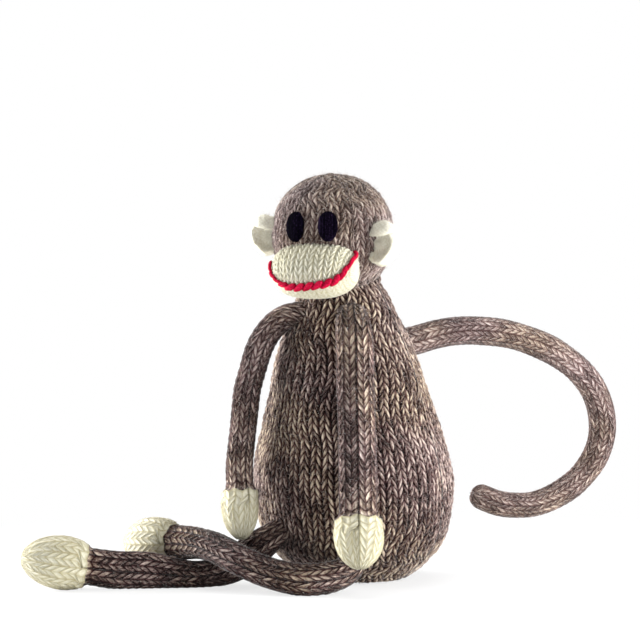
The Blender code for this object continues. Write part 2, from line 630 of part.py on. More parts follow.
def main():
    """Build every piece."""
    for old in list(bpy.data.objects):
        bpy.data.objects.remove(old)
    brown = material("brown_yarn", (0.155, 0.118, 0.105), 0.95)
    cream = material("cream_yarn", (0.62, 0.58, 0.45), 0.95)
    red = material("red_yarn", (0.38, 0.01, 0.045), 0.9)
    dark = material("dark_yarn", (0.01, 0.009, 0.018), 0.6)
    filling = material("stuffing", (0.8, 0.8, 0.78), 1.0)
    wire_metal = material("wire_steel", (0.5, 0.5, 0.5), 0.35, 1.0)

    body, body_stuffing = make_body(brown, filling)
    make_head(brown, filling)
    make_muzzle(cream, red, filling)
    make_eye("eye_right", -EYE_TURN_DEG, dark)
    make_eye("eye_left", EYE_TURN_DEG, dark)
    make_ear("ear_right", -EAR_TURN_DEG, EAR_RIGHT_LIFT_DEG, cream)
    make_ear("ear_left", EAR_TURN_DEG, EAR_LEFT_LIFT_DEG, cream)

    head_seat = head_solid("head_seat_cutter", GAP, brown, rows=23)
    side, back = square_frame(NECK_AXIS)
    ring_seat = torus("neck_ring_cutter", neck_ring_centre(), side, back, NECK_RING_RADIUS,
                      NECK_YARN_RADIUS + GAP, HEAD_SIDES, brown)
    for piece in (body, body_stuffing):
        cut(piece, head_seat)
        cut(piece, ring_seat)

    hand_sizes = (HAND_LENGTH, HAND_HALF_WIDTH, HAND_HALF_THICKNESS)
    foot_sizes = (FOOT_LENGTH, FOOT_RADIUS, FOOT_RADIUS)
    limbs = (
        ("arm_right", "hand_right", arm_limb(ARM_RIGHT_ROWS, SHOULDER_RIGHT_TURN_DEG), hand_sizes),
        ("arm_left", "hand_left", arm_limb(ARM_LEFT_ROWS, SHOULDER_LEFT_TURN_DEG), hand_sizes),
        ("leg_right", "foot_right", leg_limb(LEG_RIGHT_ROWS, HIP_RIGHT_HEIGHT, HIP_RIGHT_TURN_DEG),
         foot_sizes),
        ("leg_left", "foot_left", leg_limb(LEG_LEFT_ROWS, HIP_LEFT_HEIGHT, HIP_LEFT_TURN_DEG),
         foot_sizes),
    )
    tail = tail_limb()
    make_tail(tail, brown, filling, wire_metal)
    seats = [("tail", tail)]
    for cover_name, mitt_name, limb, sizes in limbs:
        make_limb(limb, cover_name, mitt_name, sizes, brown, cream, filling)
        seats.append((cover_name, limb))
    for name, limb in seats:
        cut(body, limb.seat_cutter(name + "_seat_cutter", brown))


main()
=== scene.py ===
"""The looks of a hand-knitted sock monkey doll that sits with its legs crossed.

Every cover is a sheet of stockinette worked out on a grid: columns of V stitches run along
each form, and each leg of a V is a rounded strand of yarn. Short loose fibres grow from the
covers. The sizes are in metres, the doll faces -Y, and the origin is the middle of its seat.
"""
import logging
import math
from dataclasses import dataclass, field, replace
from enum import Enum
from typing import Callable, Sequence

import bpy
import numpy as np
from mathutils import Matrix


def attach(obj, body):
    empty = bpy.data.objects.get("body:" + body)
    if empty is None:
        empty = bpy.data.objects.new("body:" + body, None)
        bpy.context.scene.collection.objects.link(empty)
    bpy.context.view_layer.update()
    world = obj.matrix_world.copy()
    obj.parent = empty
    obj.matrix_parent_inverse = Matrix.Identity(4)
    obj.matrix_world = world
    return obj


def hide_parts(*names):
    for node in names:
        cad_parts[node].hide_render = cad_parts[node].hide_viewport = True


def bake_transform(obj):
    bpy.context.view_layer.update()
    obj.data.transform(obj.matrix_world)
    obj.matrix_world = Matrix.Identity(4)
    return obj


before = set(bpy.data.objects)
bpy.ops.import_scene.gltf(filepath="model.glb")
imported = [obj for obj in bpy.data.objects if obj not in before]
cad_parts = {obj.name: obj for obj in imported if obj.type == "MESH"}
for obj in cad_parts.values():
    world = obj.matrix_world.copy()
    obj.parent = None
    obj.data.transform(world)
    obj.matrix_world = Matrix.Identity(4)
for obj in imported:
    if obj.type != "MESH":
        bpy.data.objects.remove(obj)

Array = np.ndarray
UP = np.array([0.0, 0.0, 1.0])
LOG = logging.getLogger("doll")


# Small geometry


def unit(vector: Array) -> Array:
    """The vector, or each row of vectors, at length one."""
    vector = np.asarray(vector, float)
    return vector / np.maximum(np.linalg.norm(vector, axis=-1, keepdims=True), 1e-12)


def level_direction(turn_deg: float) -> Array:
    """The level direction at a turn from the front towards the doll's left."""
    turn = math.radians(turn_deg)
    return np.array([math.sin(turn), -math.cos(turn), 0.0])


def smooth_route(points: Sequence, steps: int) -> Array:
    """The points of a Catmull-Rom curve through the given points.

    Each span is the cubic whose slope at a point is half the step between its neighbours.

    Args:
        points: The points that the curve passes through.
        steps: The number of equal steps in each span.

    Returns:
        One row for each point of the curve.
    """
    points = np.asarray(points, float)
    ends = 2.0 * points[[0, -1]] - points[[1, -2]]
    knots = np.vstack([ends[:1], points, ends[1:]])
    share = (np.arange(steps) / steps)[None, :, None]
    a, b, c, d = (knots[k:len(knots) - 3 + k, None, :] for k in range(4))
    bend = (2.0 * a - 5.0 * b + 4.0 * c - d) * share ** 2
    twist = (3.0 * b - a - 3.0 * c + d) * share ** 3
    spans = (2.0 * b + (c - a) * share + bend + twist) / 2.0
    return np.vstack([spans.reshape(-1, points.shape[1]), points[-1:]])


def smoothstep(share: Array) -> Array:
    """The share eased in and out, 3 s^2 - 2 s^3, and clipped to 0 and 1."""
    share = np.clip(share, 0.0, 1.0)
    return share * share * (3.0 - 2.0 * share)


def wobble(points: Array, wavelength: float, seed: int) -> Array:
    """A smooth wander from -1 to 1: the mean of six sine waves in fixed random directions.

    Args:
        points: Places in space.
        wavelength: The middle length of the waves.
        seed: The start of the random directions and phases.

    Returns:
        One value for each place.
    """
    rng = np.random.default_rng(seed)
    waves = unit(rng.normal(size=(6, 3))) * (2.0 * math.pi / wavelength)
    waves *= rng.uniform(0.6, 1.5, size=(6, 1))
    phase = rng.uniform(0.0, 2.0 * math.pi, 6)
    return np.sin(points @ waves.T + phase).mean(axis=-1) * 1.8


def make_object(name: str, points: Array, corners: Array, uv: Array | None = None,
                values: dict[str, Array] | None = None) -> bpy.types.Object:
    """A smooth shaded object of triangles, after points in one place are merged.

    Two triangles that then have the same three points are a fold without thickness, and go.

    Args:
        name: The object's name.
        points: Places, one row each.
        corners: Three point numbers for each triangle, seen counterclockwise from outside.
        uv: A pair of coordinates for each corner of each triangle.
        values: Named numbers for the points.

    Returns:
        The new object, linked to the scene.
    """
    points = np.asarray(points, float).reshape(-1, 3)
    _, first, place = np.unique(np.round(points * 2e6).astype(np.int64), axis=0,
                                return_index=True, return_inverse=True)
    corners = place.reshape(-1)[corners]
    whole = ((corners[:, 0] != corners[:, 1]) & (corners[:, 1] != corners[:, 2])
             & (corners[:, 2] != corners[:, 0]))
    whole = np.flatnonzero(whole)
    _, earliest, group, shared = np.unique(np.sort(corners[whole], axis=1), axis=0, return_index=True,
                                           return_inverse=True, return_counts=True)
    odd = np.zeros(len(whole), bool)
    odd[earliest] = True
    whole = whole[odd & (shared[group.reshape(-1)] % 2 == 1)]
    corners = corners[whole]
    mesh = bpy.data.meshes.new(name)
    mesh.from_pydata(points[first], [], corners)
    mesh.shade_smooth()
    if uv is not None:
        layer = mesh.uv_layers.new(name="strand")
        layer.data.foreach_set("uv", uv[whole].astype(np.float32).ravel())
    for key, numbers in (values or {}).items():
        attribute = mesh.attributes.new(key, "FLOAT", "POINT")
        attribute.data.foreach_set("value", numbers.reshape(-1)[first].astype(np.float32))
    made = bpy.data.objects.new(name, mesh)
    bpy.context.collection.objects.link(made)
    return made


def grid_corners(rows: int, columns: int, closed_rows: bool = False, closed_columns: bool = False,
                 flip: bool = False) -> tuple[Array, Array, Array]:
    """The triangles of a grid of points that are numbered row by row.

    Args:
        rows: The number of rows of points.
        columns: The number of columns of points.
        closed_rows: Whether the last row joins the first.
        closed_columns: Whether the last column joins the first.
        flip: Whether the triangles face the other way.

    Returns:
        The corners of the triangles, and the row and the column of each corner before it wraps.
    """
    row, column = np.meshgrid(np.arange(rows if closed_rows else rows - 1),
                              np.arange(columns if closed_columns else columns - 1), indexing="ij")
    row, column = row.reshape(-1, 1), column.reshape(-1, 1)
    turn = np.array([[0, 0, 1, 1], [0, 1, 1, 0]])
    if flip:
        turn = turn[:, ::-1]
    quad_row, quad_column = row + turn[0], column + turn[1]
    order = np.array([0, 1, 2, 0, 2, 3])
    tri_row = quad_row[:, order].reshape(-1, 3)
    tri_column = quad_column[:, order].reshape(-1, 3)
    return (tri_row % rows) * columns + tri_column % columns, tri_row, tri_column


# Finishes


class Shader:
    """A node material that is put together a node at a time."""

    def __init__(self, name: str) -> None:
        """Start from a Principled shader."""
        self.material = bpy.data.materials.new(name)
        self.material.use_nodes = True
        self.tree = self.material.node_tree
        self.surface = self.tree.nodes["Principled BSDF"]

    def add(self, kind: str, inputs: dict | None = None, **settings) -> bpy.types.Node:
        """Add a node.

        Args:
            kind: The node's type.
            inputs: For each input's name or number, a value or another node's output.
            settings: The node's own settings.

        Returns:
            The new node.
        """
        made = self.tree.nodes.new(kind)
        for key, value in settings.items():
            setattr(made, key, value)
        self.feed(made, inputs or {})
        return made

    def feed(self, node: bpy.types.Node, inputs: dict) -> None:
        """Set or link a node's inputs."""
        for key, value in inputs.items():
            if isinstance(value, bpy.types.NodeSocket):
                self.tree.links.new(value, node.inputs[key])
            else:
                node.inputs[key].default_value = value

    def place(self) -> bpy.types.NodeSocket:
        """The object's own coordinates."""
        return self.add("ShaderNodeTexCoord").outputs["Object"]

    def noise(self, vector: bpy.types.NodeSocket, scale: float, detail: float = 2.0,
              roughness: float = 0.5) -> bpy.types.NodeSocket:
        """The value of a noise texture."""
        return self.add("ShaderNodeTexNoise", {"Vector": vector, "Scale": scale, "Detail": detail,
                                               "Roughness": roughness}).outputs["Fac"]

    def math(self, operation: str, *values) -> bpy.types.NodeSocket:
        """The result of a sum on values or other nodes' outputs."""
        return self.add("ShaderNodeMath", dict(enumerate(values)), operation=operation).outputs[0]

    def ramp(self, factor: bpy.types.NodeSocket, stops: Sequence) -> bpy.types.NodeSocket:
        """A colour ramp with the given pairs of position and colour."""
        made = self.add("ShaderNodeValToRGB", {"Fac": factor})
        elements = made.color_ramp.elements
        while len(elements) < len(stops):
            elements.new(0.5)
        for element, (position, colour) in zip(elements, stops):
            element.position = position
            element.color = (*colour, 1.0)
        return made.outputs["Color"]

    def multiply(self, first: bpy.types.NodeSocket, second: bpy.types.NodeSocket) -> bpy.types.NodeSocket:
        """Two colours multiplied."""
        made = self.add("ShaderNodeMix", {"Factor": 1.0}, data_type="RGBA", blend_type="MULTIPLY")
        self.tree.links.new(first, made.inputs[6])
        self.tree.links.new(second, made.inputs[7])
        return made.outputs[2]


@dataclass(frozen=True)
class Yarn:
    """A wool yarn in strands, with a blend of fibre colours, a fine fibrous surface and a colour of painted
    shade for its grooves.
    """

    name: str
    slot: str
    stops: tuple[tuple[float, tuple[float, float, float]], ...]
    groove_shade: tuple[float, float, float]
    streak: tuple[float, float] = (2.8, 2.3)
    warmth: tuple[tuple[float, float, float], ...] = ((1.0, 0.95, 0.95), (1.0, 0.96, 0.80))
    strand_share: float = 0.35
    sheen: float = 0.3
    sheen_tint: tuple[float, float, float] = (1.0, 0.97, 0.94)
    roughness: float = 0.9
    gloss: float = 0.08
    bump: float = 0.00035

    def material(self) -> bpy.types.Material:
        """The knitted finish: streaks along each strand, a tone for each strand, and painted shade in the
        grooves.

        Returns:
            A material that reads the strand coordinates and the crest of the piece.
        """
        shader = Shader(self.name)
        strand = shader.add("ShaderNodeUVMap", uv_map="strand").outputs["UV"]
        place = shader.place()
        stretched = shader.add("ShaderNodeMapping", {"Vector": strand, "Scale": (*self.streak, 1.0)})
        streaks = shader.noise(stretched.outputs[0], 1.0, detail=4.0, roughness=0.72)
        cell = shader.add("ShaderNodeVectorMath", {0: strand, 1: (1.0, STRAND_SHIFT, 1.0)},
                          operation="DIVIDE")
        cell = shader.add("ShaderNodeVectorMath", {0: cell.outputs[0]}, operation="FLOOR")
        tone = shader.add("ShaderNodeTexWhiteNoise", {"Vector": cell.outputs[0]})
        blotch_share = 0.3
        blend = shader.math("MULTIPLY_ADD", tone.outputs["Value"], 0.5 * self.strand_share, streaks)
        blend = shader.math("MULTIPLY_ADD", shader.noise(place, 55.0), blotch_share, blend)
        blend = shader.math("SUBTRACT", blend, (0.5 * self.strand_share + blotch_share) / 2.0)
        colour = shader.multiply(shader.ramp(blend, self.stops), shader.ramp(
            shader.noise(place, 26.0), tuple(zip((0.4, 0.6), self.warmth))))
        # Painted shade: where the crest is low, between strands and at the edges of columns, the colour is
        # multiplied down towards the groove shade colour.
        crest = shader.add("ShaderNodeAttribute", attribute_name="crest").outputs["Fac"]
        colour = shader.multiply(colour, shader.ramp(crest, (
            (0.12, self.groove_shade), (0.52, tuple(value ** 0.42 for value in self.groove_shade)),
            (0.90, (1.0, 1.0, 1.0)))))
        fine = shader.add("ShaderNodeMapping", {"Vector": strand, "Scale": (14.0, 1.6, 1.0),
                                                "Rotation": (0.0, 0.0, 0.12)})
        fibres = shader.noise(fine.outputs[0], 1.0, detail=4.0, roughness=0.7)
        relief = shader.add("ShaderNodeBump", {"Height": fibres, "Distance": self.bump,
                                               "Strength": 0.9})
        shader.feed(shader.surface, {
            "Base Color": colour, "Normal": relief.outputs[0], "Roughness": self.roughness,
            "Specular IOR Level": self.gloss, "Sheen Weight": self.sheen, "Sheen Roughness": 0.4,
            "Sheen Tint": (*self.sheen_tint, 1.0)})
        return shader.material

    def fuzz_material(self, backlight_glow: float) -> bpy.types.Material:
        """The finish of loose fibres: the yarn's colours by place, made lighter as painted light for the
        glow of backlit fibres.

        Args:
            backlight_glow: How much brighter the fibres are than the yarn.

        Returns:
            A material on object coordinates.
        """
        shader = Shader(self.name + "_fuzz")
        spots = shader.noise(shader.place(), 900.0, detail=1.0)
        stops = [(position, tuple(min(1.0, value * backlight_glow) for value in colour))
                 for position, colour in self.stops]
        shader.feed(shader.surface, {"Base Color": shader.ramp(spots, stops),
                                     "Roughness": 1.0, "Specular IOR Level": 0.1,
                                     "Sheen Weight": 0.5, "Sheen Roughness": 0.6})
        return shader.material


STRAND_SHIFT = 13.7
MOST_FIBRES = 33000

# Each yarn's groove colour below is painted shade for the dips between its strands.
BROWN = Yarn("brown_wool", "brown_yarn", groove_shade=(0.018, 0.005, 0.007), stops=(
    (0.36, (0.022, 0.012, 0.012)), (0.46, (0.14, 0.098, 0.088)), (0.545, (0.32, 0.255, 0.225)),
    (0.65, (0.62, 0.55, 0.49))))
CREAM = Yarn("cream_wool", "cream_yarn", groove_shade=(0.60, 0.56, 0.44), strand_share=0.2, sheen=0.25,
             warmth=((1.0, 1.0, 1.0), (1.0, 0.99, 0.93)), stops=(
                 (0.34, (0.52, 0.49, 0.37)), (0.5, (0.60, 0.58, 0.47)), (0.66, (0.68, 0.67, 0.59))))
SOFT_CREAM = replace(CREAM, name="soft_cream_wool", groove_shade=(0.76, 0.73, 0.61), stops=(
    (0.34, (0.50, 0.475, 0.37)), (0.5, (0.56, 0.54, 0.44)), (0.66, (0.62, 0.61, 0.53))))
# A lighter copy of the cream for the ears: painted light that lifts the shade in their hollows.
CREAM_PAINTED_LIT = replace(CREAM, name="pale_cream_wool", stops=(
    (0.34, (0.74, 0.70, 0.57)), (0.5, (0.80, 0.78, 0.67)), (0.66, (0.85, 0.84, 0.76))))
# A lighter copy of the brown for the arms: painted light that brightens them against the shaded body.
BROWN_PAINTED_LIT = replace(BROWN, name="light_brown_wool", groove_shade=(0.06, 0.03, 0.034), stops=(
    (0.36, (0.04, 0.027, 0.025)), (0.46, (0.19, 0.145, 0.13)), (0.545, (0.40, 0.33, 0.30)),
    (0.65, (0.74, 0.67, 0.62))))
# A lower-contrast copy of the brown with much paler painted groove shade, for the head and the tail; on the
# tail this paler copy is painted light for the strong light that falls on it.
SOFT_BROWN = replace(BROWN, name="soft_brown_wool", groove_shade=(0.20, 0.13, 0.13), stops=(
    (0.36, (0.065, 0.048, 0.047)), (0.46, (0.155, 0.12, 0.113)), (0.545, (0.26, 0.213, 0.20)),
    (0.65, (0.50, 0.445, 0.42))))
RED = Yarn("red_wool", "red_yarn", groove_shade=(0.25, 0.15, 0.2), strand_share=0.2, sheen=0.0,
           sheen_tint=(1.0, 0.5, 0.55), stops=(
               (0.34, (0.16, 0.000, 0.010)), (0.5, (0.38, 0.001, 0.028)), (0.66, (0.54, 0.012, 0.06))))
DARK = Yarn("dark_thread", "dark_yarn", groove_shade=(0.2, 0.2, 0.25), strand_share=0.2, sheen=0.0,
            roughness=0.8, gloss=0.01, stops=(
                (0.40, (0.0003, 0.0003, 0.001)), (0.55, (0.001, 0.0005, 0.004)),
                (0.66, (0.045, 0.028, 0.085))))


# Knitting


@dataclass
class Rings:
    """A form swept by elliptical rings, read by a turn about it and a length along it.

    A place is the ring's centre plus the cosine of the turn times the half size across, along
    one direction, plus its sine times the half size out, along the other.
    """

    centres: Array
    across: Array
    out: Array
    half_across: Array
    half_out: Array
    lumps: float = 0.0005

    def __post_init__(self) -> None:
        """Work out the length along the form from the steps of its centre and of its size."""
        count = len(self.centres)
        self.across = np.broadcast_to(self.across, (count, 3))
        self.out = np.broadcast_to(self.out, (count, 3))
        size = (self.half_across + self.half_out) / 2.0
        step = np.hypot(np.linalg.norm(np.diff(self.centres, axis=0), axis=1), np.diff(size))
        self.reach = np.concatenate([[0.0], np.cumsum(step)])
        self.table = np.column_stack([self.centres, self.across, self.out,
                                      self.half_across, self.half_out])

    @property
    def length(self) -> float:
        """The whole length along the form."""
        return float(self.reach[-1])

    def read(self, along: Array) -> Array:
        """The ring at each length, as centre, two directions and two half sizes."""
        return np.stack([np.interp(along, self.reach, column) for column in self.table.T], axis=-1)

    def girth(self, along: Array) -> Array:
        """The distance round the ring at each length."""
        ring = self.read(along)
        return 2.0 * math.pi * np.sqrt((ring[..., 9] ** 2 + ring[..., 10] ** 2) / 2.0)

    def point(self, turn: Array, along: Array) -> Array:
        """The places at each turn and length, with soft lumps where the form isn't thin."""
        ring = self.read(along)
        cosine, sine = np.cos(turn)[..., None], np.sin(turn)[..., None]
        offset = ring[..., 3:6] * cosine * ring[..., 9:10] + ring[..., 6:9] * sine * ring[..., 10:11]
        place = ring[..., 0:3] + offset
        lump = self.lumps * wobble(place, 0.030, 7) * np.clip(ring[..., 9] / 0.008, 0.0, 1.0)
        return place + unit(offset) * lump[..., None]


@dataclass
class Stockinette:
    """Columns of V stitches over a form.

    The sheet is counted in stitches: a is across the columns, and b along them. Across one
    column, x is 0 in the middle and 1 at both edges, and the strand number is q = b - lean x,
    so the strands rise from the middle of the V to its edges. A strand's height is the half
    circle over the fraction of q, times a swell that is low in the middle of the V and at its
    edges and high between them.
    """

    place: Callable[[Array, Array], Array]
    width: Callable[[Array, Array], Array]
    columns: int
    rows: float
    lean: float = -1.3
    relief: float = 0.0015
    closed: bool = True
    steps_across: int = 10
    steps_along: int = 6
    seed: int = 1
    split: float | None = None
    calm: float = 0.72
    sink: float = 0.95

    def strands(self) -> tuple[int, int]:
        """The first and the last strand number that the grid needs."""
        low, high = min(0.0, -self.lean), max(self.rows, self.rows - self.lean)
        return math.floor(low), math.ceil(high)

    def grid(self) -> dict[str, Array]:
        """Work out the raised sheet.

        Returns:
            The points, the crest and the strand number q on the grid.
        """
        first, last = self.strands()
        line = np.arange((last - first) * self.steps_along + 1) / self.steps_along + first
        count = self.columns * self.steps_across + (0 if self.closed else 1)
        a = np.arange(count) / self.steps_across
        q, a = np.meshgrid(line, a, indexing="ij")
        x = np.abs(2.0 * (a - np.floor(a)) - 1.0)
        wander = 0.16 * np.sin(q * 1.7 + a * 2.1) + 0.12 * np.sin(q * 0.6 - a * 3.7)
        lean = np.full(q.shape, self.lean)
        if self.split is not None:
            lean *= 1.0 - self.calm * np.exp(-((q - self.split) / 1.3) ** 2)
        b = np.clip(q + lean * x + 0.35 * wander, 0.0, self.rows)
        b[0], b[-1] = 0.0, self.rows
        centre = self.place(a, b)
        step, margin = 0.08, 0.35
        inside = np.clip(b, margin, self.rows - margin)
        ahead = self.place(a, inside + step) - self.place(a, inside - step)
        side = self.side(a, inside)
        normal = unit(np.cross(side, ahead))
        rng = np.random.default_rng(self.seed)
        size = rng.uniform(0.72, 1.12, (last - first + 2, 2 * self.columns + 2))
        strand = np.floor(q + 1e-6).astype(int) - first
        leg = np.floor(2.0 * a + 1e-6).astype(int)
        phase = np.mod(q, 1.0)
        round_top = np.sqrt(np.clip(1.0 - (2.0 * phase - 1.0) ** 2, 0.0, 1.0))
        valley, rise, fall, flank = 0.42, 0.58, 0.86, 0.34
        swell = valley + rise * smoothstep(x / flank)
        swell *= 1.0 - fall * smoothstep((x - 0.66) / flank)
        crest = (0.12 + 0.88 * round_top) * swell
        broad = np.clip(self.width(a, b), 0.0, 1.2)
        height = self.relief * self.depth(a, b) * (crest * size[strand, leg] - self.sink)
        height = height * np.sqrt(broad)
        if self.split is not None:
            height *= 1.0 - 0.42 * smoothstep(q - self.split)
        return {"points": centre + height[..., None] * normal, "crest": crest, "q": q}

    def depth(self, a: Array, b: Array) -> Array:
        """The share of the full relief at each place."""
        return np.ones(a.shape)

    def side(self, a: Array, b: Array) -> Array:
        """The direction across the columns."""
        step = 0.5
        return self.place(a + step, b) - self.place(a - step, b)

    def piece(self, name: str, grid: dict[str, Array], start: float | None, end: float | None,
              flip: bool, floor: bool = False) -> bpy.types.Object:
        """An object from the strands between two strand numbers.

        Args:
            name: The object's name.
            grid: What grid() gave.
            start: The first strand, or None for all from the start.
            end: The strand to stop before, or None for all to the end.
            flip: Whether the sheet faces the other way.
            floor: Whether the piece is pressed flat on the level that the doll sits on.

        Returns:
            The object, closed by a fan at each open end.
        """
        line = grid["q"][:, 0]
        keep = np.ones(len(line), bool)
        if start is not None:
            keep &= line > start - 1e-6
        if end is not None:
            keep &= line < end + 1e-6
        points, crest, q = (grid[key][keep] for key in ("points", "crest", "q"))
        if floor:
            points = points.copy()
            points[..., 2] = np.maximum(points[..., 2], 0.0)
        rows, columns = q.shape
        corners, row, column = grid_corners(rows, columns, closed_columns=self.closed, flip=flip)
        quad = np.arange(len(corners)) // 2
        first_column = quad % (columns if self.closed else columns - 1)
        leg = (first_column * 2 // self.steps_across)[:, None]
        edge = column / self.steps_across * 2.0 - leg
        rising = np.where(leg % 2 == 0, 1.0 - edge, edge)
        uv = np.stack([q[row, 0], rising * 1.4 + leg * STRAND_SHIFT + 4.0], axis=-1)
        points, corners, uv, crest = self.close(points, corners, uv, crest, rows, columns, flip)
        return make_object(name, points, corners, uv, {"crest": crest})

    def close(self, points: Array, corners: Array, uv: Array, crest: Array, rows: int,
              columns: int, flip: bool) -> tuple[Array, Array, Array, Array]:
        """Close the first and the last row on their own middles, a little inside the sheet."""
        flat = points.reshape(-1, 3)
        if self.closed:
            here = np.arange(columns)
            after = (here + 1) % columns
            for number, row in enumerate((0, rows - 1)):
                middle = np.full(columns, len(flat))
                flat = np.vstack([flat, points[row].mean(axis=0)])
                ring = np.stack([row * columns + here, row * columns + after, middle], axis=1)
                if (number == 0) != flip:
                    ring = ring[:, ::-1]
                corners = np.vstack([corners, ring])
                uv = np.vstack([uv, np.zeros((columns, 3, 2))])
        crest = np.concatenate([crest.ravel(), np.full(len(flat) - crest.size, 0.3)])
        return flat, corners, uv, crest


@dataclass
class Tube:
    """Stockinette round a swept form, in sectors that gain and lose columns with its girth.

    Where the girth shrinks, the outer columns of a sector narrow to nothing one after another,
    as when stitches are knitted together, and the rest share the sector evenly.
    """

    rings: Rings
    row_height: float = 0.0039
    stitch_width: float = 0.0061
    sectors: tuple[float, ...] = (0.0, 90.0, 180.0, 270.0)
    counts: tuple[tuple[float, float], ...] | None = None
    marks: tuple[float, ...] = ()

    def __post_init__(self) -> None:
        """Count the columns of each sector and the rows between the marks."""
        turns = np.radians(self.sectors)
        self.starts = turns
        self.spans = np.diff(np.append(turns, turns[0] + 2.0 * math.pi))
        along = np.linspace(0.0, self.rings.length, 400)
        wanted = self.wanted(along)
        self.most = np.ceil(wanted.max() * self.spans / (2.0 * math.pi) - 1e-6).astype(int)
        self.columns = int(self.most.sum())
        knots = [0.0, *self.marks, self.rings.length]
        whole = [max(1, round((after - before) / self.row_height))
                 for before, after in zip(knots, knots[1:])]
        self.knots = np.array(knots)
        self.row_knots = np.concatenate([[0], np.cumsum(whole)]).astype(float)

    @property
    def rows(self) -> float:
        """The number of rows of stitches."""
        return float(self.row_knots[-1])

    def wanted(self, along: Array) -> Array:
        """The number of columns that the whole girth calls for."""
        if self.counts:
            places, numbers = zip(*self.counts)
            return np.interp(along, places, numbers)
        return self.rings.girth(along) / self.stitch_width

    def along(self, b: Array) -> Array:
        """The length along the form at a row count."""
        return np.interp(b, self.row_knots, self.knots)

    def turn(self, a: Array, b: Array) -> tuple[Array, Array]:
        """The turn at a column count, and the column's width as a share of a stitch."""
        a = np.mod(a, self.columns)
        along = self.along(b)
        wanted = self.wanted(along)
        turn, width = np.zeros(a.shape), np.zeros(a.shape)
        first = 0
        for start, span, most in zip(self.starts, self.spans, self.most):
            mine = (a >= first) & (a < first + most)
            number = wanted[mine] * span / (2.0 * math.pi)
            order = np.argsort(np.argsort(np.abs(np.arange(most) - (most - 1) / 2.0 + 0.01)))
            active = smoothstep(1.6 * (number[:, None] - order[None, :] - 0.5) + 0.5)
            active = np.maximum(active, (order == 0)[None, :])
            share = active / active.sum(axis=1, keepdims=True)
            edges = np.concatenate([np.zeros((len(share), 1)), np.cumsum(share, axis=1)], axis=1)
            local = a[mine] - first
            column = np.minimum(np.floor(local).astype(int), most - 1)
            pick = np.arange(len(column))
            turn[mine] = start + span * (edges[pick, column] + (local - column) * share[pick, column])
            width[mine] = share[pick, column] * span
            first += most
        size = self.rings.girth(along) / (2.0 * math.pi)
        return turn, width * size / self.stitch_width

    def place(self, a: Array, b: Array) -> Array:
        """The places on the form at a column and row count."""
        return self.rings.point(self.turn(a, b)[0], self.along(b))

    def width(self, a: Array, b: Array) -> Array:
        """The width of the columns as a share of a stitch."""
        return self.turn(a, b)[1]

    def sheet(self, seed: int, **settings) -> "TubeSheet":
        """The stockinette of the tube."""
        return TubeSheet(self.place, self.width, self.columns, self.rows, seed=seed, tube=self,
                         **settings)


@dataclass
class TubeSheet(Stockinette):
    """Stockinette round a tube, where the way across is read from the turn itself."""

    tube: Tube | None = None

    def side(self, a: Array, b: Array) -> Array:
        """The direction round the form, also where a column has no width."""
        turn, _ = self.tube.turn(a, b)
        along = self.tube.along(b)
        step = 0.05
        return self.tube.rings.point(turn + step, along) - self.tube.rings.point(turn - step, along)


# Loose fibres


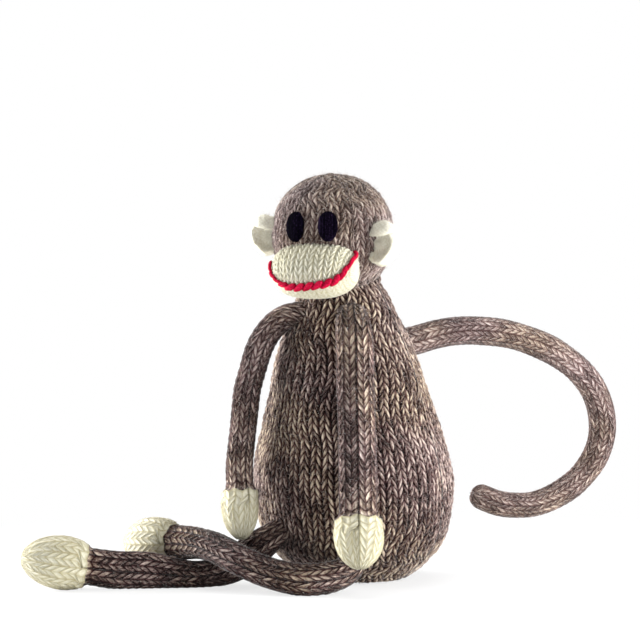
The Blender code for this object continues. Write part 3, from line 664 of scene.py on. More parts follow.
@dataclass(frozen=True)
class Fuzz:
    """Loose fibres: thin closed spindles that leave the yarn at a slant and bend half-way."""

    per_square_metre: float
    shortest: float
    longest: float
    radius: float = 0.000042
    lift: float = 0.45
    curl: float = 0.6
    # How much lighter the fibres are than their yarn: painted light for the glow of light through them.
    backlight_glow: float = 1.1

    def grow(self, name: str, cover: bpy.types.Object, seed: int) -> bpy.types.Object:
        """Grow the fibres of one cover.

        Args:
            name: The name of the new object.
            cover: The knitted piece that they leave.
            seed: The start of the random places.

        Returns:
            One object of all the fibres.
        """
        mesh = cover.data
        places = np.zeros(len(mesh.vertices) * 3)
        mesh.vertices.foreach_get("co", places)
        places = places.reshape(-1, 3)
        corners = np.zeros(len(mesh.loops), int)
        mesh.loops.foreach_get("vertex_index", corners)
        triangles = places[corners.reshape(-1, 3)]
        crest = np.zeros(len(mesh.vertices), np.float32)
        mesh.attributes["crest"].data.foreach_get("value", crest)
        normal = np.cross(triangles[:, 1] - triangles[:, 0], triangles[:, 2] - triangles[:, 0])
        area = np.linalg.norm(normal, axis=1) / 2.0
        rng = np.random.default_rng(seed)
        count = min(int(self.per_square_metre * area.sum()), MOST_FIBRES)
        weight = area * (0.25 + crest[corners.reshape(-1, 3)].mean(axis=1))
        chosen = rng.choice(len(area), count, p=weight / weight.sum())
        share = rng.dirichlet((1.0, 1.0, 1.0), count)
        root = (triangles[chosen] * share[:, :, None]).sum(axis=1)
        outward = unit(normal[chosen])
        length = rng.uniform(self.shortest, self.longest, (count, 1)) * rng.uniform(0.5, 1.0, (count, 1))
        slant = unit(rng.normal(size=(count, 3)))
        direction = unit(slant + self.lift * 2.0 * outward + 0.15 * UP)
        sink = np.einsum("ij,ij->i", direction, outward)[:, None]
        direction = unit(direction + outward * np.clip(0.12 - sink, 0.0, None))
        bend = rng.normal(size=(count, 3)) * self.curl
        return self.spindles(name, root - 0.0003 * outward, direction, bend, length, rng)

    def spindles(self, name: str, root: Array, direction: Array, bend: Array, length: Array,
                 rng: np.random.Generator) -> bpy.types.Object:
        """Closed three-sided spindles along lines that bend at their thickest place."""
        count = len(root)
        waist = root + 0.45 * length * direction
        tip = root + length * (direction + bend * 0.6)
        side = unit(np.cross(direction, rng.normal(size=(count, 3))))
        other = np.cross(direction, side)
        turn = np.arange(3) * 2.0 * math.pi / 3.0
        thick = self.radius * rng.uniform(0.6, 1.2, (count, 1, 1))
        ring = waist[:, None] + thick * (side[:, None] * np.cos(turn)[None, :, None]
                                         + other[:, None] * np.sin(turn)[None, :, None])
        points = np.concatenate([root[:, None], ring, tip[:, None]], axis=1)
        pattern = np.array([[0, 2, 1], [0, 3, 2], [0, 1, 3], [1, 2, 4], [2, 3, 4], [3, 1, 4]])
        corners = (np.arange(count)[:, None, None] * 5 + pattern[None]).reshape(-1, 3)
        return make_object(name, points.reshape(-1, 3), corners)


# The brown fibres are much lighter than the brown yarn: painted light for the bright halo at the rims.
BROWN_FUZZ = Fuzz(per_square_metre=900000.0, shortest=0.0010, longest=0.0030, backlight_glow=1.7)
CREAM_FUZZ = Fuzz(per_square_metre=900000.0, shortest=0.0009, longest=0.0026)
EAR_FUZZ = Fuzz(per_square_metre=2400000.0, shortest=0.0012, longest=0.0034, radius=0.00005)


# The doll


class Side(Enum):
    """The doll's own sides."""

    RIGHT = -1
    LEFT = 1


@dataclass
class Wardrobe:
    """Dresses each piece: its finish, its fibres and the body it moves with."""

    materials: dict[str, bpy.types.Material] = field(default_factory=dict)
    triangles: int = 0

    def finish(self, key: str, make: Callable[[], bpy.types.Material]) -> bpy.types.Material:
        """A material that is made once."""
        if key not in self.materials:
            self.materials[key] = make()
        return self.materials[key]

    def dress(self, piece: bpy.types.Object, yarn: Yarn, body: str, nodes: Sequence[str],
              root: tuple[str, Array, Array] | None = None) -> None:
        """Give a piece its yarn and its body, or bake it in place where it has a root.

        Args:
            piece: The piece.
            yarn: Its yarn.
            body: The body that it rides on, where it has no root.
            nodes: The CAD nodes that it stands for.
            root: Given for a piece whose root is sewn into the body; such a piece is baked in place and
                rides on no body.
        """
        piece.data.materials.append(self.finish(yarn.name, yarn.material))
        self.attach(piece, body, nodes, root)

    def attach(self, piece: bpy.types.Object, body: str, nodes: Sequence[str],
               root: tuple[str, Array, Array] | None) -> None:
        """Fix a piece to its body, or bake it in place where it has a root, and hide the CAD nodes that it
        stands for.
        """
        if root:
            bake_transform(piece)
        else:
            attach(piece, body)
        if nodes:
            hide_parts(*nodes)
        self.triangles += len(piece.data.polygons)
        LOG.info("%s: %d triangles", piece.name, len(piece.data.polygons))

    def knit(self, cover: bpy.types.Object, yarn: Yarn, body: str, nodes: Sequence[str], fuzz: Fuzz,
             loose: Yarn, seed: int, root: tuple[str, Array, Array] | None = None) -> None:
        """Dress a stuffed cover and grow its fibres, which are fixed as the cover is.

        Args:
            cover: The cover, whose fibres take its name up to the last underscore.
            yarn: Its yarn.
            body: The body that it rides on, where it has no root.
            nodes: The CAD nodes that it stands for.
            fuzz: How its fibres grow.
            loose: The yarn that its fibres take their colours from.
            seed: The start of the fibres' random places.
            root: Given for a cover whose root is sewn into the body; such a cover and its fibres are baked
                in place and ride on no body.
        """
        self.dress(cover, yarn, body, nodes, root)
        fibres = fuzz.grow(cover.name.rsplit("_", 1)[0] + "_fuzz", cover, seed)
        fibres.data.materials.append(self.finish(loose.name + "_fuzz",
                                                 lambda: loose.fuzz_material(fuzz.backlight_glow)))
        self.attach(fibres, body, (), root)


@dataclass
class Torso:
    """The pear-shaped body, whose upright axis leans forward and aside to the neck."""

    height: float = 0.161
    radius: float = 0.050
    lean_forward: float = 0.0135
    lean_right: float = 0.0017
    lean_curve: float = 1.5
    top_share: float = 0.945
    outline: tuple = (
        (0.0, 0.48), (0.022, 0.602), (0.053, 0.718), (0.100, 0.855), (0.177, 0.956),
        (0.290, 1.0), (0.394, 0.955), (0.50, 0.855), (0.612, 0.768), (0.705, 0.682),
        (0.798, 0.560), (0.88, 0.446), (0.935, 0.36), (1.0, 0.27))

    def axis(self, heights: Array) -> Array:
        """The points of the body's axis at the given heights."""
        share = np.clip(np.asarray(heights, float) / self.height, 0.0, None) ** self.lean_curve
        return np.stack([-self.lean_right * share, -self.lean_forward * share,
                         np.asarray(heights, float)], axis=-1)

    def profile(self) -> Array:
        """Rows of height and radius from the rim of the seat to the neck."""
        return smooth_route(self.outline, 8) * (self.height, self.radius)

    def radius_at(self, height: Array) -> Array:
        """The radius at a height."""
        profile = self.profile()
        return np.interp(height, profile[:, 0], profile[:, 1])

    def normal(self, height: float, turn_deg: float) -> Array:
        """The way out of the body's surface."""
        step = 0.0022
        slope = (self.radius_at(height + step) - self.radius_at(height - step)) / (2.0 * step)
        return unit(level_direction(turn_deg) - float(slope) * UP)

    def seat(self, height: float, turn_deg: float, root_radius: float) -> Array:
        """The middle of a limb's round root, sunk a little into the body."""
        contact = self.axis(height) + float(self.radius_at(height)) * level_direction(turn_deg)
        return contact + (root_radius - 0.0006) * self.normal(height, turn_deg)

    def rings(self) -> Rings:
        """The closed form: the flat seat, the outline and a flat top inside the head."""
        profile = self.profile()
        profile = profile[profile[:, 0] <= self.top_share * self.height]
        seat = np.column_stack([np.zeros(8), np.linspace(0.0, profile[0, 1], 9)[:-1]])
        top = profile[-1] * np.column_stack([np.ones(8), np.linspace(1.0, 0.0, 9)[1:]])
        profile = np.vstack([seat, profile, top])
        return Rings(self.axis(profile[:, 0]), np.array([1.0, 0.0, 0.0]), np.array([0.0, 1.0, 0.0]),
                     profile[:, 1], profile[:, 1])

    def build(self, wardrobe: Wardrobe) -> None:
        """Knit the body."""
        tube = Tube(self.rings(), sectors=(57.0, 123.0, 190.0, 245.0, 303.0, 360.0))
        sheet = tube.sheet(seed=11, steps_along=5)
        cover = sheet.piece("body_cover", sheet.grid(), None, None, flip=False, floor=True)
        wardrobe.knit(cover, BROWN, "torso", ("body_knit", "body_stuffing"), BROWN_FUZZ, BROWN, 12)


@dataclass
class Head:
    """The head, a ball that is squarer above its middle, with its crown tipped forward."""

    torso: Torso
    radius: float = 0.0304
    rise: float = 0.0089
    forward: float = 0.0071
    left: float = 0.0001
    squareness: float = 2.15
    tip_deg: float = 8.0
    face_turn_deg: float = 9.4

    def __post_init__(self) -> None:
        """Place the head and its directions."""
        base = self.torso.axis(self.torso.height)
        self.centre = base + np.array([self.left, -self.forward, self.rise])
        self.front = level_direction(self.face_turn_deg)
        self.side = np.cross(UP, self.front)
        self.axis = unit(UP + math.tan(math.radians(self.tip_deg)) * self.front)

    def reach(self, directions: Array) -> Array:
        """The distance from the middle of the head to its surface in each direction."""
        lift = np.arcsin(np.clip(directions @ self.axis, -1.0, 1.0))
        cosine, sine = np.abs(np.cos(lift)), np.abs(np.sin(lift))
        square = (cosine ** self.squareness + sine ** self.squareness) ** (-1.0 / self.squareness)
        return self.radius * np.where(lift > 0.0, square, 1.0)

    def rings(self) -> Rings:
        """Rings from the bottom of the head to its crown."""
        lift = np.linspace(-math.pi / 2.0, math.pi / 2.0, 90)
        side = unit(np.cross((0.0, 1.0, 0.0), self.axis))
        back = np.cross(self.axis, side)
        directions = np.cos(lift)[:, None] * side + np.sin(lift)[:, None] * self.axis
        reach = self.reach(directions)
        centres = self.centre + (reach * np.sin(lift))[:, None] * self.axis
        radius = np.maximum(reach * np.cos(lift), 0.0)
        return Rings(centres, side, back, radius, radius, lumps=0.0004)

    def direction(self, turn_deg: float, lift_deg: float) -> Array:
        """The way out of the head at a turn from the middle of the face and a lift above it."""
        lift = math.radians(lift_deg)
        return level_direction(self.face_turn_deg + turn_deg) * math.cos(lift) + UP * math.sin(lift)

    def build(self, wardrobe: Wardrobe) -> None:
        """Knit the head and draw its crown together."""
        tube = Tube(self.rings(), sectors=(20.0, 80.0, 140.0, 200.0, 260.0, 320.0),
                    stitch_width=0.0058, row_height=0.0038)
        sheet = tube.sheet(seed=21, relief=0.0012)
        cover = sheet.piece("head_cover", sheet.grid(), None, None, flip=False)
        wardrobe.knit(cover, SOFT_BROWN, "head", ("head_knit", "head_stuffing"), BROWN_FUZZ, BROWN, 22)


@dataclass
class MuzzleSheet(Stockinette):
    """The muzzle's stockinette, which is stretched nearly smooth over the lower lip."""

    def depth(self, a: Array, b: Array) -> Array:
        """Full relief above the mouth, little below it, and none at the seam behind."""
        lip = 0.18 + 0.82 * smoothstep((b / self.rows - 0.435) / 0.04)
        seam = smoothstep(b / 0.6) * smoothstep((self.rows - b) / 0.6)
        return lip * seam * (1.0 - self.corner(a))

    def corner(self, a: Array) -> Array:
        """A share that grows from 0 to 1 towards both corners, where the columns meet."""
        return smoothstep((np.abs(2.0 * a / self.columns - 1.0) - 0.82) / 0.14)

    def grid(self) -> dict[str, Array]:
        """The raised sheet, with no painted groove shade where the columns meet."""
        made = super().grid()
        count = made["crest"].shape[1]
        corner = self.corner(np.arange(count) / self.steps_across)[None, :]
        made["crest"] = made["crest"] * (1.0 - corner) + 0.75 * corner
        return made


@dataclass
class Muzzle:
    """The cream cup of the muzzle, knitted with its columns upright over the front."""

    head: Head
    half_width: float = 0.0216
    half_height: float = 0.0134
    half_depth: float = 0.0170
    forward: float = 0.0243
    drop: float = 0.0174
    tilt_deg: float = 12.0
    squareness: float = 2.5
    columns: int = 12
    rows: int = 26
    mouth_deg: tuple = (
        (-73.0, 15.0), (-66.0, 3.5), (-55.0, -3.5), (-38.0, -10.5), (-24.0, -15.0), (-4.0, -15.5),
        (17.0, -13.0), (34.0, -10.5), (50.0, -6.0), (61.0, 2.5), (76.0, 13.5), (103.0, 21.0))
    mouth_stitches: tuple = (
        (3, 0.0056, 0.0008, 0.0006), (1, 0.0048, 0.0013, 0.0014), (6, 0.0052, 0.0015, 0.0022),
        (1, 0.0064, 0.0013, 0.0012), (2, 0.0086, 0.0010, 0.0006))

    def __post_init__(self) -> None:
        """Place the muzzle and its directions."""
        tilt = math.radians(self.tilt_deg)
        self.ahead = self.head.front * math.cos(tilt) - UP * math.sin(tilt)
        self.above = UP * math.cos(tilt) + self.head.front * math.sin(tilt)
        self.axes = np.array([self.ahead, self.above, self.head.side])
        self.centre = self.head.centre + self.forward * self.head.front - self.drop * UP
        self.halves = np.array([self.half_depth, self.half_height, self.half_width])

    def point(self, turn: Array, lift: Array) -> Array:
        """The squared ellipsoid at a turn about its long axis and a lift along that axis.

        Seen from the front, its outline is the curve where the sum of the two shares, each to
        the power of the squareness, is one.
        """
        shape = np.stack([np.cos(lift) * np.cos(turn), np.cos(lift) * np.sin(turn), np.sin(lift)], axis=-1)
        corner_turn = np.arctan2(shape[..., 2], shape[..., 1])
        corner = (np.abs(np.cos(corner_turn)) ** self.squareness
                  + np.abs(np.sin(corner_turn)) ** self.squareness)
        shape[..., 1:] *= corner[..., None] ** (-1.0 / self.squareness)
        return self.centre + (shape * self.halves) @ self.axes

    def place(self, a: Array, b: Array) -> Array:
        """The places at a column count from side to side and a row count up the front."""
        across = 2.0 * a / self.columns - 1.0
        lift = np.arcsin(np.clip(across, -1.0, 1.0)) * 0.55 + across * math.pi / 2.0 * 0.45
        turn = 2.0 * math.pi * b / self.rows - math.pi
        return self.point(turn, np.clip(lift, -1.5707, 1.5707))

    def surface(self, angles_deg: Array, proud: float) -> tuple[Array, Array]:
        """The places and the ways out at turns towards the doll's left and lifts.

        A direction over the half sizes is scaled until the squared ellipsoid's sum is one, and
        the way out is the slope of that sum.
        """
        turn, lift = np.radians(angles_deg).T
        shape = np.stack([np.cos(lift) * np.cos(turn), np.sin(lift), np.cos(lift) * np.sin(turn)],
                         axis=-1) / self.halves
        square = self.squareness
        corner = np.sum(np.abs(shape[:, 1:]) ** square, axis=1, keepdims=True) ** (1.0 / square)
        size = 1.0 / np.sqrt(shape[:, :1] ** 2 + corner ** 2)
        shape, corner = shape * size, corner * size
        slopes = (np.abs(shape[:, 1:]) ** (square - 1.0) * np.sign(shape[:, 1:])
                  * corner ** (2.0 - square))
        outward = unit((np.hstack([shape[:, :1], slopes]) / self.halves) @ self.axes)
        return self.centre + (shape * self.halves) @ self.axes + proud * outward, outward

    def build(self, wardrobe: Wardrobe) -> None:
        """Knit the muzzle and stitch the mouth."""
        sheet = MuzzleSheet(self.place, lambda a, b: np.ones(a.shape), self.columns, float(self.rows),
                            lean=1.3, relief=0.0010, closed=False, sink=0.5, seed=31)
        cover = sheet.piece("muzzle_cover", sheet.grid(), None, None, flip=True)
        wardrobe.knit(cover, SOFT_CREAM, "head", ("muzzle_knit", "muzzle_stuffing"), CREAM_FUZZ, CREAM,
                      32)
        self.stitch_mouth(wardrobe)

    def stitch_mouth(self, wardrobe: Wardrobe) -> None:
        """The mouth: overlapping stitches of twisted yarn in a row along the smile.

        A stitch runs along its share of the route and a little past both ends, from below the
        row to above it. Its section is a circle with three low lobes that turn along it, and
        its thickness is the square root of one less the cube of the distance from its middle.
        """
        places, outward = self.surface(smooth_route(self.mouth_deg, 24), 0.0004)
        step = np.linalg.norm(np.diff(places, axis=0), axis=1)
        reach = np.concatenate([[0.0], np.cumsum(step)])
        number, length, thick, slant = np.array(self.mouth_stitches).T
        length, thick, slant = (np.repeat(value, number.astype(int)) for value in (length, thick, slant))
        ends = np.concatenate([[0.0], np.cumsum(length)])
        ends *= reach[-1] / ends[-1]
        points, corners, uv = [], [], []
        rows, sides = 19, 14
        share = np.linspace(0.0, 1.0, rows)
        turn = np.linspace(0.0, 2.0 * math.pi, sides, endpoint=False)
        for stitch in range(len(length)):
            here = ends[stitch] + (ends[stitch + 1] - ends[stitch]) * (share * 1.5 - 0.25)
            spine = np.stack([np.interp(here, reach, places[:, k]) for k in range(3)], axis=-1)
            out = unit(np.stack([np.interp(here, reach, outward[:, k]) for k in range(3)], axis=-1))
            below = unit(np.cross(np.gradient(spine, axis=0), out))
            lean = slant[stitch] * (share - 0.5 - 0.35 * np.sin(2.0 * math.pi * share) / math.pi)
            spine = spine + out * (0.0008 * np.sin(math.pi * share))[:, None] - below * lean[:, None]
            along = unit(np.gradient(spine, axis=0))
            below = unit(np.cross(along, out))
            profile = thick[stitch] * np.sqrt(np.clip(1.0 - np.abs(2.0 * share - 1.0) ** 3, 0.0, 1.0))
            lobes = 1.0 + 0.09 * np.cos(3.0 * (turn[None] - 5.0 * share[:, None]))
            ring = (below[:, None] * np.cos(turn)[None, :, None]
                    + np.cross(below, along)[:, None] * np.sin(turn)[None, :, None])
            grid = spine[:, None] + ring * (profile[:, None] * lobes)[..., None]
            tri, row, column = grid_corners(rows, sides, closed_columns=True, flip=True)
            corners.append(tri + rows * sides * stitch)
            points.append(grid.reshape(-1, 3))
            uv.append(np.stack([column / 4.0, row * 0.35 + 20.0 * stitch], axis=-1))
        points = np.vstack(points)
        piece = make_object("mouth_stitches", points, np.vstack(corners), np.vstack(uv),
                            {"crest": np.full(len(points), 0.9)})
        wardrobe.dress(piece, RED, "head", ("mouth_stitching",))


@dataclass
class Eye:
    """An eye of upright satin stitches in dark thread, domed over the curve of the face."""

    head: Head
    side: Side
    turn_deg: float = 15.8
    lift_deg: float = 6.5
    half_width: float = 0.0047
    half_height: float = 0.0074
    bulge: float = 0.0024
    threads: int = 13

    def build(self, wardrobe: Wardrobe) -> None:
        """Lay the threads.

        Across the eye, x runs from -1 to 1 and each thread is a half circle. Along a thread, t
        runs from -1 to 1 and the place is t times the height of the oval at x. The rise above
        the face is the bulge times a dome that ends steeply at the edge.
        """
        outward = self.head.direction(self.side.value * self.turn_deg, self.lift_deg)
        across = unit(np.cross(UP, outward))
        above = np.cross(outward, across)
        columns, rows = self.threads * 6 + 1, 25
        t, x = np.meshgrid(np.linspace(-1.0, 1.0, rows), np.linspace(-1.0, 1.0, columns), indexing="ij")
        oval = np.sqrt(np.clip(1.0 - np.abs(x) ** 2.1, 0.0, 1.0))
        phase = np.mod((x + 1.0) / 2.0 * self.threads, 1.0)
        thread = np.sqrt(np.clip(1.0 - (2.0 * phase - 1.0) ** 2, 0.0, 1.0))
        dome = np.sqrt(np.clip(1.0 - (t * oval) ** 2 - x ** 2 * 0.98, 0.0, 1.0)) ** 0.6
        front = self.layer(outward, across, above, x, t * oval, self.bulge * dome
                           + 0.00035 * (thread - 0.6) * dome)
        back = self.layer(outward, across, above, x, t * oval, np.full(oval.shape, -0.0008))
        points = np.vstack([front.reshape(-1, 3), back.reshape(-1, 3)])
        corners, row, column = grid_corners(rows, columns)
        flipped, _, _ = grid_corners(rows, columns, flip=True)
        edge = np.concatenate([np.arange(columns), np.arange(1, rows) * columns + columns - 1,
                               (rows - 1) * columns + np.arange(columns - 1)[::-1],
                               np.arange(1, rows - 1)[::-1] * columns])
        after = np.roll(edge, -1)
        size = rows * columns
        rim = np.vstack([np.stack([edge, edge + size, after], axis=1),
                         np.stack([after, edge + size, after + size], axis=1)])
        uv = np.stack([column * self.threads / (columns - 1.0), row * 0.4], axis=-1)
        # Painted shade: a low crest between threads and on the back layer darkens the thread colour there.
        crest = np.concatenate([(0.2 + 0.8 * thread).ravel(), np.full(size, 0.2)])
        uv = np.vstack([uv, uv, np.zeros((len(rim), 3, 2))])
        node = f"eye_{self.side.name.lower()}"
        piece = make_object(node + "_threads", points, np.vstack([corners, flipped + size, rim]), uv,
                            {"crest": crest})
        wardrobe.dress(piece, DARK, "head", (node,))

    def layer(self, outward: Array, across: Array, above: Array, x: Array, y: Array,
              rise: Array) -> Array:
        """Places over the face at shares across and up, raised along their own directions."""
        flat = (self.head.radius * outward + (x * self.half_width)[..., None] * across
                + (y * self.half_height)[..., None] * above)
        directions = unit(flat)
        reach = self.head.reach(directions) + 0.0003 + rise
        return self.head.centre + reach[..., None] * directions


@dataclass
class Ear:
    """A cupped ear in brushed cream yarn: a plump dish with its top edge folded over it."""

    head: Head
    side: Side
    turn_deg: float = 70.0
    lift_deg: float = 0.0
    half_height: float = 0.0104
    reach: float = 0.0100
    thickness: float = 0.0046
    fold_length: float = 0.0082
    fold_height: float = 0.0034
    stand_off: float = 0.0012
    forward: float = 0.0

    def __post_init__(self) -> None:
        """Place the ear and its directions."""
        self.outward = self.head.direction(self.side.value * self.turn_deg, self.lift_deg)
        self.above = unit(UP - np.dot(UP, self.outward) * self.outward)
        self.ahead = np.cross(self.outward, self.above) * self.side.value
        self.centre = (self.head.centre + (self.head.radius + self.stand_off) * self.outward
                       + self.forward * self.ahead)

    def dish(self, w: Array, v: Array) -> Array:
        """Shares outward, up and ahead on the dish.

        The turn w runs round the ear. From the middle of the front over the rim to the middle
        of the back, the share v runs from 0 to 1: the distance from the middle grows to 1 at
        the rim and comes back, and the height is low in the hollow, highest just inside the
        rim, and a shallow dome behind.
        """
        half, hollow, rise, fall, dome, pinch = 0.60, 0.62, 0.48, 1.1, 0.9, 0.16
        spread = np.where(v < half, np.sin(np.clip(v / half, 0.0, 1.0) * math.pi / 2.0),
                          np.cos((v - half) / (1.0 - half) * math.pi / 2.0))
        front = hollow + rise * smoothstep((v - 0.12) / 0.26) - fall * smoothstep((v - 0.36) / 0.24)
        back = -dome * np.sin(np.clip((v - half) / (1.0 - half), 0.0, 1.0) * math.pi / 2.0) ** 0.7
        height = np.where(v < half, front, back)
        narrow = 1.0 - pinch * smoothstep(-np.sin(w) * 1.2)
        return np.stack([spread * np.cos(w) * narrow, spread * np.sin(w) + 0.0 * v, height + 0.0 * w],
                        axis=-1) * (self.reach, self.half_height, self.thickness)

    def fold(self, w: Array, v: Array) -> Array:
        """Distances outward, up and ahead on the folded edge: a curved leaf over the dish.

        The leaf's length runs outward, its section is an ellipse at the turn w that droops
        forward, and its size is the square root of one less the share v squared, drawn to
        points at both ends.
        """
        seat_share, climb, sag = 0.68, 0.0016, 0.0012
        proud, curl, half_leaf, droop = 0.0046, 0.0020, 0.0021, 0.45
        along = 2.0 * v - 1.0
        size = np.sqrt(np.clip(1.0 - np.abs(along) ** 2.2, 0.0, 1.0))
        out = 0.0002 + self.fold_length * along + 0.0 * w
        up = (seat_share * self.half_height + climb * along - sag * along ** 2
              + size * self.fold_height * np.sin(w))
        ahead = (proud - curl * along ** 2 + size * half_leaf * np.cos(w)
                 - droop * size * self.fold_height * np.sin(w))
        return np.stack([out, up, ahead], axis=-1)

    def build(self, wardrobe: Wardrobe) -> None:
        """Shape the ear's two parts on one kind of grid and join them in one piece."""
        rows, sides = 41, 72
        w = np.linspace(0.0, 2.0 * math.pi, sides, endpoint=False)[None, :]
        v = np.linspace(0.0, 1.0, rows)[:, None]
        points, corners, uv, crests = [], [], [], []
        for number, shape in enumerate((self.dish(w, v), self.fold(w, v))):
            q, a = v * 8.0 + 0.0 * w, w / (2.0 * math.pi) * 12.0 + 0.0 * v
            rib = np.abs(np.sin(math.pi * (q - 0.7 * np.abs(2.0 * np.mod(a, 1.0) - 1.0))))
            place = self.centre + shape @ np.array([self.outward, self.above, self.ahead])
            middle = place.mean(axis=(0, 1))
            soft = 0.0004 * wobble(place, 0.006, 43) + 0.0003 * rib * np.sin(math.pi * v)
            place = place + soft[..., None] * unit(place - middle)
            turned = (self.side is Side.RIGHT) != (number == 1)
            tri, row, column = grid_corners(rows, sides, closed_columns=True, flip=turned)
            corners.append(tri + rows * sides * number)
            points.append(place.reshape(-1, 3))
            uv.append(np.stack([row / 5.0, column / 6.0], axis=-1))
            # The rib pattern is the crest here, so the yarn's painted groove shade darkens the dips between
            # the ribs.
            crests.append((0.55 + 0.45 * rib).ravel())
        label = self.side.name.lower()
        piece = make_object(f"ear_{label}_cover", np.vstack(points), np.vstack(corners), np.vstack(uv),
                            {"crest": np.concatenate(crests)})
        wardrobe.knit(piece, CREAM_PAINTED_LIT, "head", (f"ear_{label}",), EAR_FUZZ, CREAM,
                      40 + self.side.value)


@dataclass
class DrawnYarn:
    """A ring of two-ply yarn that draws a cover together."""

    name: str
    node: str
    body: str
    centre: Array
    axis: Array
    ring_radius: float
    yarn_radius: float
    twists: int

    def build(self, wardrobe: Wardrobe) -> None:
        """Wind the ring: a torus whose tube has two lobes that turn along it."""
        side = unit(np.cross((0.0, 1.0, 0.0), self.axis))
        front = np.cross(self.axis, side)
        w = np.linspace(0.0, 2.0 * math.pi, 160, endpoint=False)[:, None]
        p = np.linspace(0.0, 2.0 * math.pi, 14, endpoint=False)[None, :]
        tube = self.yarn_radius * (1.0 + 0.16 * np.cos(2.0 * p - self.twists * w))
        outward = np.cos(w)[..., None] * side + np.sin(w)[..., None] * front
        points = (self.centre + (self.ring_radius + tube * np.cos(p))[..., None] * outward
                  + (tube * np.sin(p))[..., None] * self.axis)
        corners, row, column = grid_corners(160, 14, closed_rows=True, closed_columns=True)
        uv = np.stack([column / 7.0, row * 0.25], axis=-1)
        # Painted shade: the crest follows the twist, so the colour darkens between the two plies.
        crest = 0.65 + 0.35 * np.cos(2.0 * p - self.twists * w)
        piece = make_object(self.name, points, corners, uv, {"crest": crest})
        wardrobe.dress(piece, BROWN, self.body, (self.node,))


MITT_OUTLINE = ((0.0, 0.72), (0.10, 0.86), (0.28, 0.985), (0.46, 1.0), (0.66, 0.90), (0.83, 0.68),
                (0.95, 0.38))
MITT_TIP = ((0.975, 0.29), (0.992, 0.16), (1.0, 0.0))


@dataclass
class Limb:
    """An arm, a leg or the tail: a bent tube whose root is sewn into the body."""

    name: str
    mitt_name: str | None
    body: str
    node: str
    route: Array
    out: Array
    half_across: Array
    half_out: Array
    start: Array
    seed: int
    mitt: tuple[float, float, float] | None = None
    columns: tuple[float, float] = (7.0, 10.0)
    join: int = 7
    root_share: float = 0.85
    wrist_shift: float = 0.002
    yarn: Yarn = BROWN
    relief: float = 0.0014

    def lead(self) -> tuple[Array, Array]:
        """The buried start of the route, as an arc that runs smoothly into it.

        Returns:
            The points before the route's own, and their half size as a share of the first.
        """
        into = self.join
        tangent = unit(self.route[into + 1] - self.route[into - 1])
        bend = self.route[into] - tangent * np.linalg.norm(self.route[into] - self.route[0])
        share = np.linspace(0.0, 1.0, 17)[:-1, None]
        points = ((1.0 - share) ** 2 * self.start + 2.0 * share * (1.0 - share) * bend
                  + share ** 2 * self.route[into])
        return points, self.root_share + (1.0 - self.root_share) * smoothstep(share[:, 0])

    def rings(self) -> tuple[Rings, float]:
        """The rings from the buried root to the tip, and the length to the wrist."""
        points, shares = self.lead()
        kept = slice(self.join, None)
        route = np.vstack([points, self.route[kept]])
        half_across = np.concatenate([shares * self.half_across[self.join], self.half_across[kept]])
        half_out = np.concatenate([shares * self.half_out[self.join], self.half_out[kept]])
        out = np.vstack([np.repeat(self.out[self.join:self.join + 1], len(points), axis=0),
                         self.out[kept]])
        forward = unit(np.gradient(route, axis=0))
        across = unit(np.cross(forward, out))
        out = np.cross(across, forward)
        cap_rows = 4
        cap = np.linspace(0.0, 1.0, cap_rows + 1)[:-1]
        route, across, out = (np.vstack([np.repeat(value[:1], cap_rows, axis=0), value])
                              for value in (route, across, out))
        half_across = np.concatenate([cap * half_across[0], half_across])
        half_out = np.concatenate([cap * half_out[0], half_out])
        wrist = len(route)
        if self.mitt:
            reach, wide, high = self.mitt
            shape = np.vstack([smooth_route(MITT_OUTLINE, 6), MITT_TIP])
            flare_share, looseness = 0.16, 1.02
            blend = smoothstep(shape[:, 0] / flare_share)
            tip_centres = route[-1] + (shape[:, 0] * reach)[:, None] * forward[-1]
            tip_across = wide * shape[:, 1] * blend + half_across[-1] * (1.0 - blend) * looseness
            tip_out = high * shape[:, 1] * blend + half_out[-1] * (1.0 - blend) * looseness
        else:
            angle = np.linspace(0.0, math.pi / 2.0, 14)[1:]
            size = half_out[-1]
            tip_centres = route[-1] + (size * np.sin(angle))[:, None] * forward[-1]
            tip_across = tip_out = size * np.cos(angle)
        count = len(tip_centres)
        rings = Rings(np.vstack([route, tip_centres]),
                      np.vstack([across, np.repeat(across[-1:], count, axis=0)]),
                      np.vstack([out, np.repeat(out[-1:], count, axis=0)]),
                      np.concatenate([half_across, tip_across]),
                      np.concatenate([half_out, tip_out]), lumps=0.0003)
        return rings, float(rings.reach[wrist - 1])

    def build(self, wardrobe: Wardrobe) -> None:
        """Knit the limb, and its hand or foot in cream."""
        rings, wrist = self.rings()
        narrow, wide = self.columns
        counts = ((0.0, narrow), (wrist + self.wrist_shift, narrow),
                  (wrist + self.wrist_shift + 0.006, wide), (rings.length, wide))
        marks = (wrist + self.wrist_shift,) if self.mitt else ()
        tube = Tube(rings, counts=counts, marks=marks)
        split = float(tube.row_knots[1]) if self.mitt else None
        sheet = tube.sheet(seed=self.seed, relief=self.relief, lean=-1.15, split=split, sink=1.2)
        grid = sheet.grid()
        root = ("torso", self.start, self.route[0] + self.half_out[0] * unit(self.route[8] - self.route[0]))
        sleeve = sheet.piece(self.name + "_sleeve", grid, None, split, flip=False)
        inside = (self.node, self.node + "_stuffing") if self.mitt else ("tail_knit", "tail_stuffing")
        wardrobe.knit(sleeve, self.yarn, self.body, inside, BROWN_FUZZ, self.yarn, self.seed + 1, root)
        if self.mitt:
            mitt = sheet.piece(self.mitt_name + "_mitt", grid, split, None, flip=False)
            wardrobe.knit(mitt, CREAM, self.body, (self.mitt_name,), CREAM_FUZZ, CREAM, self.seed + 2)


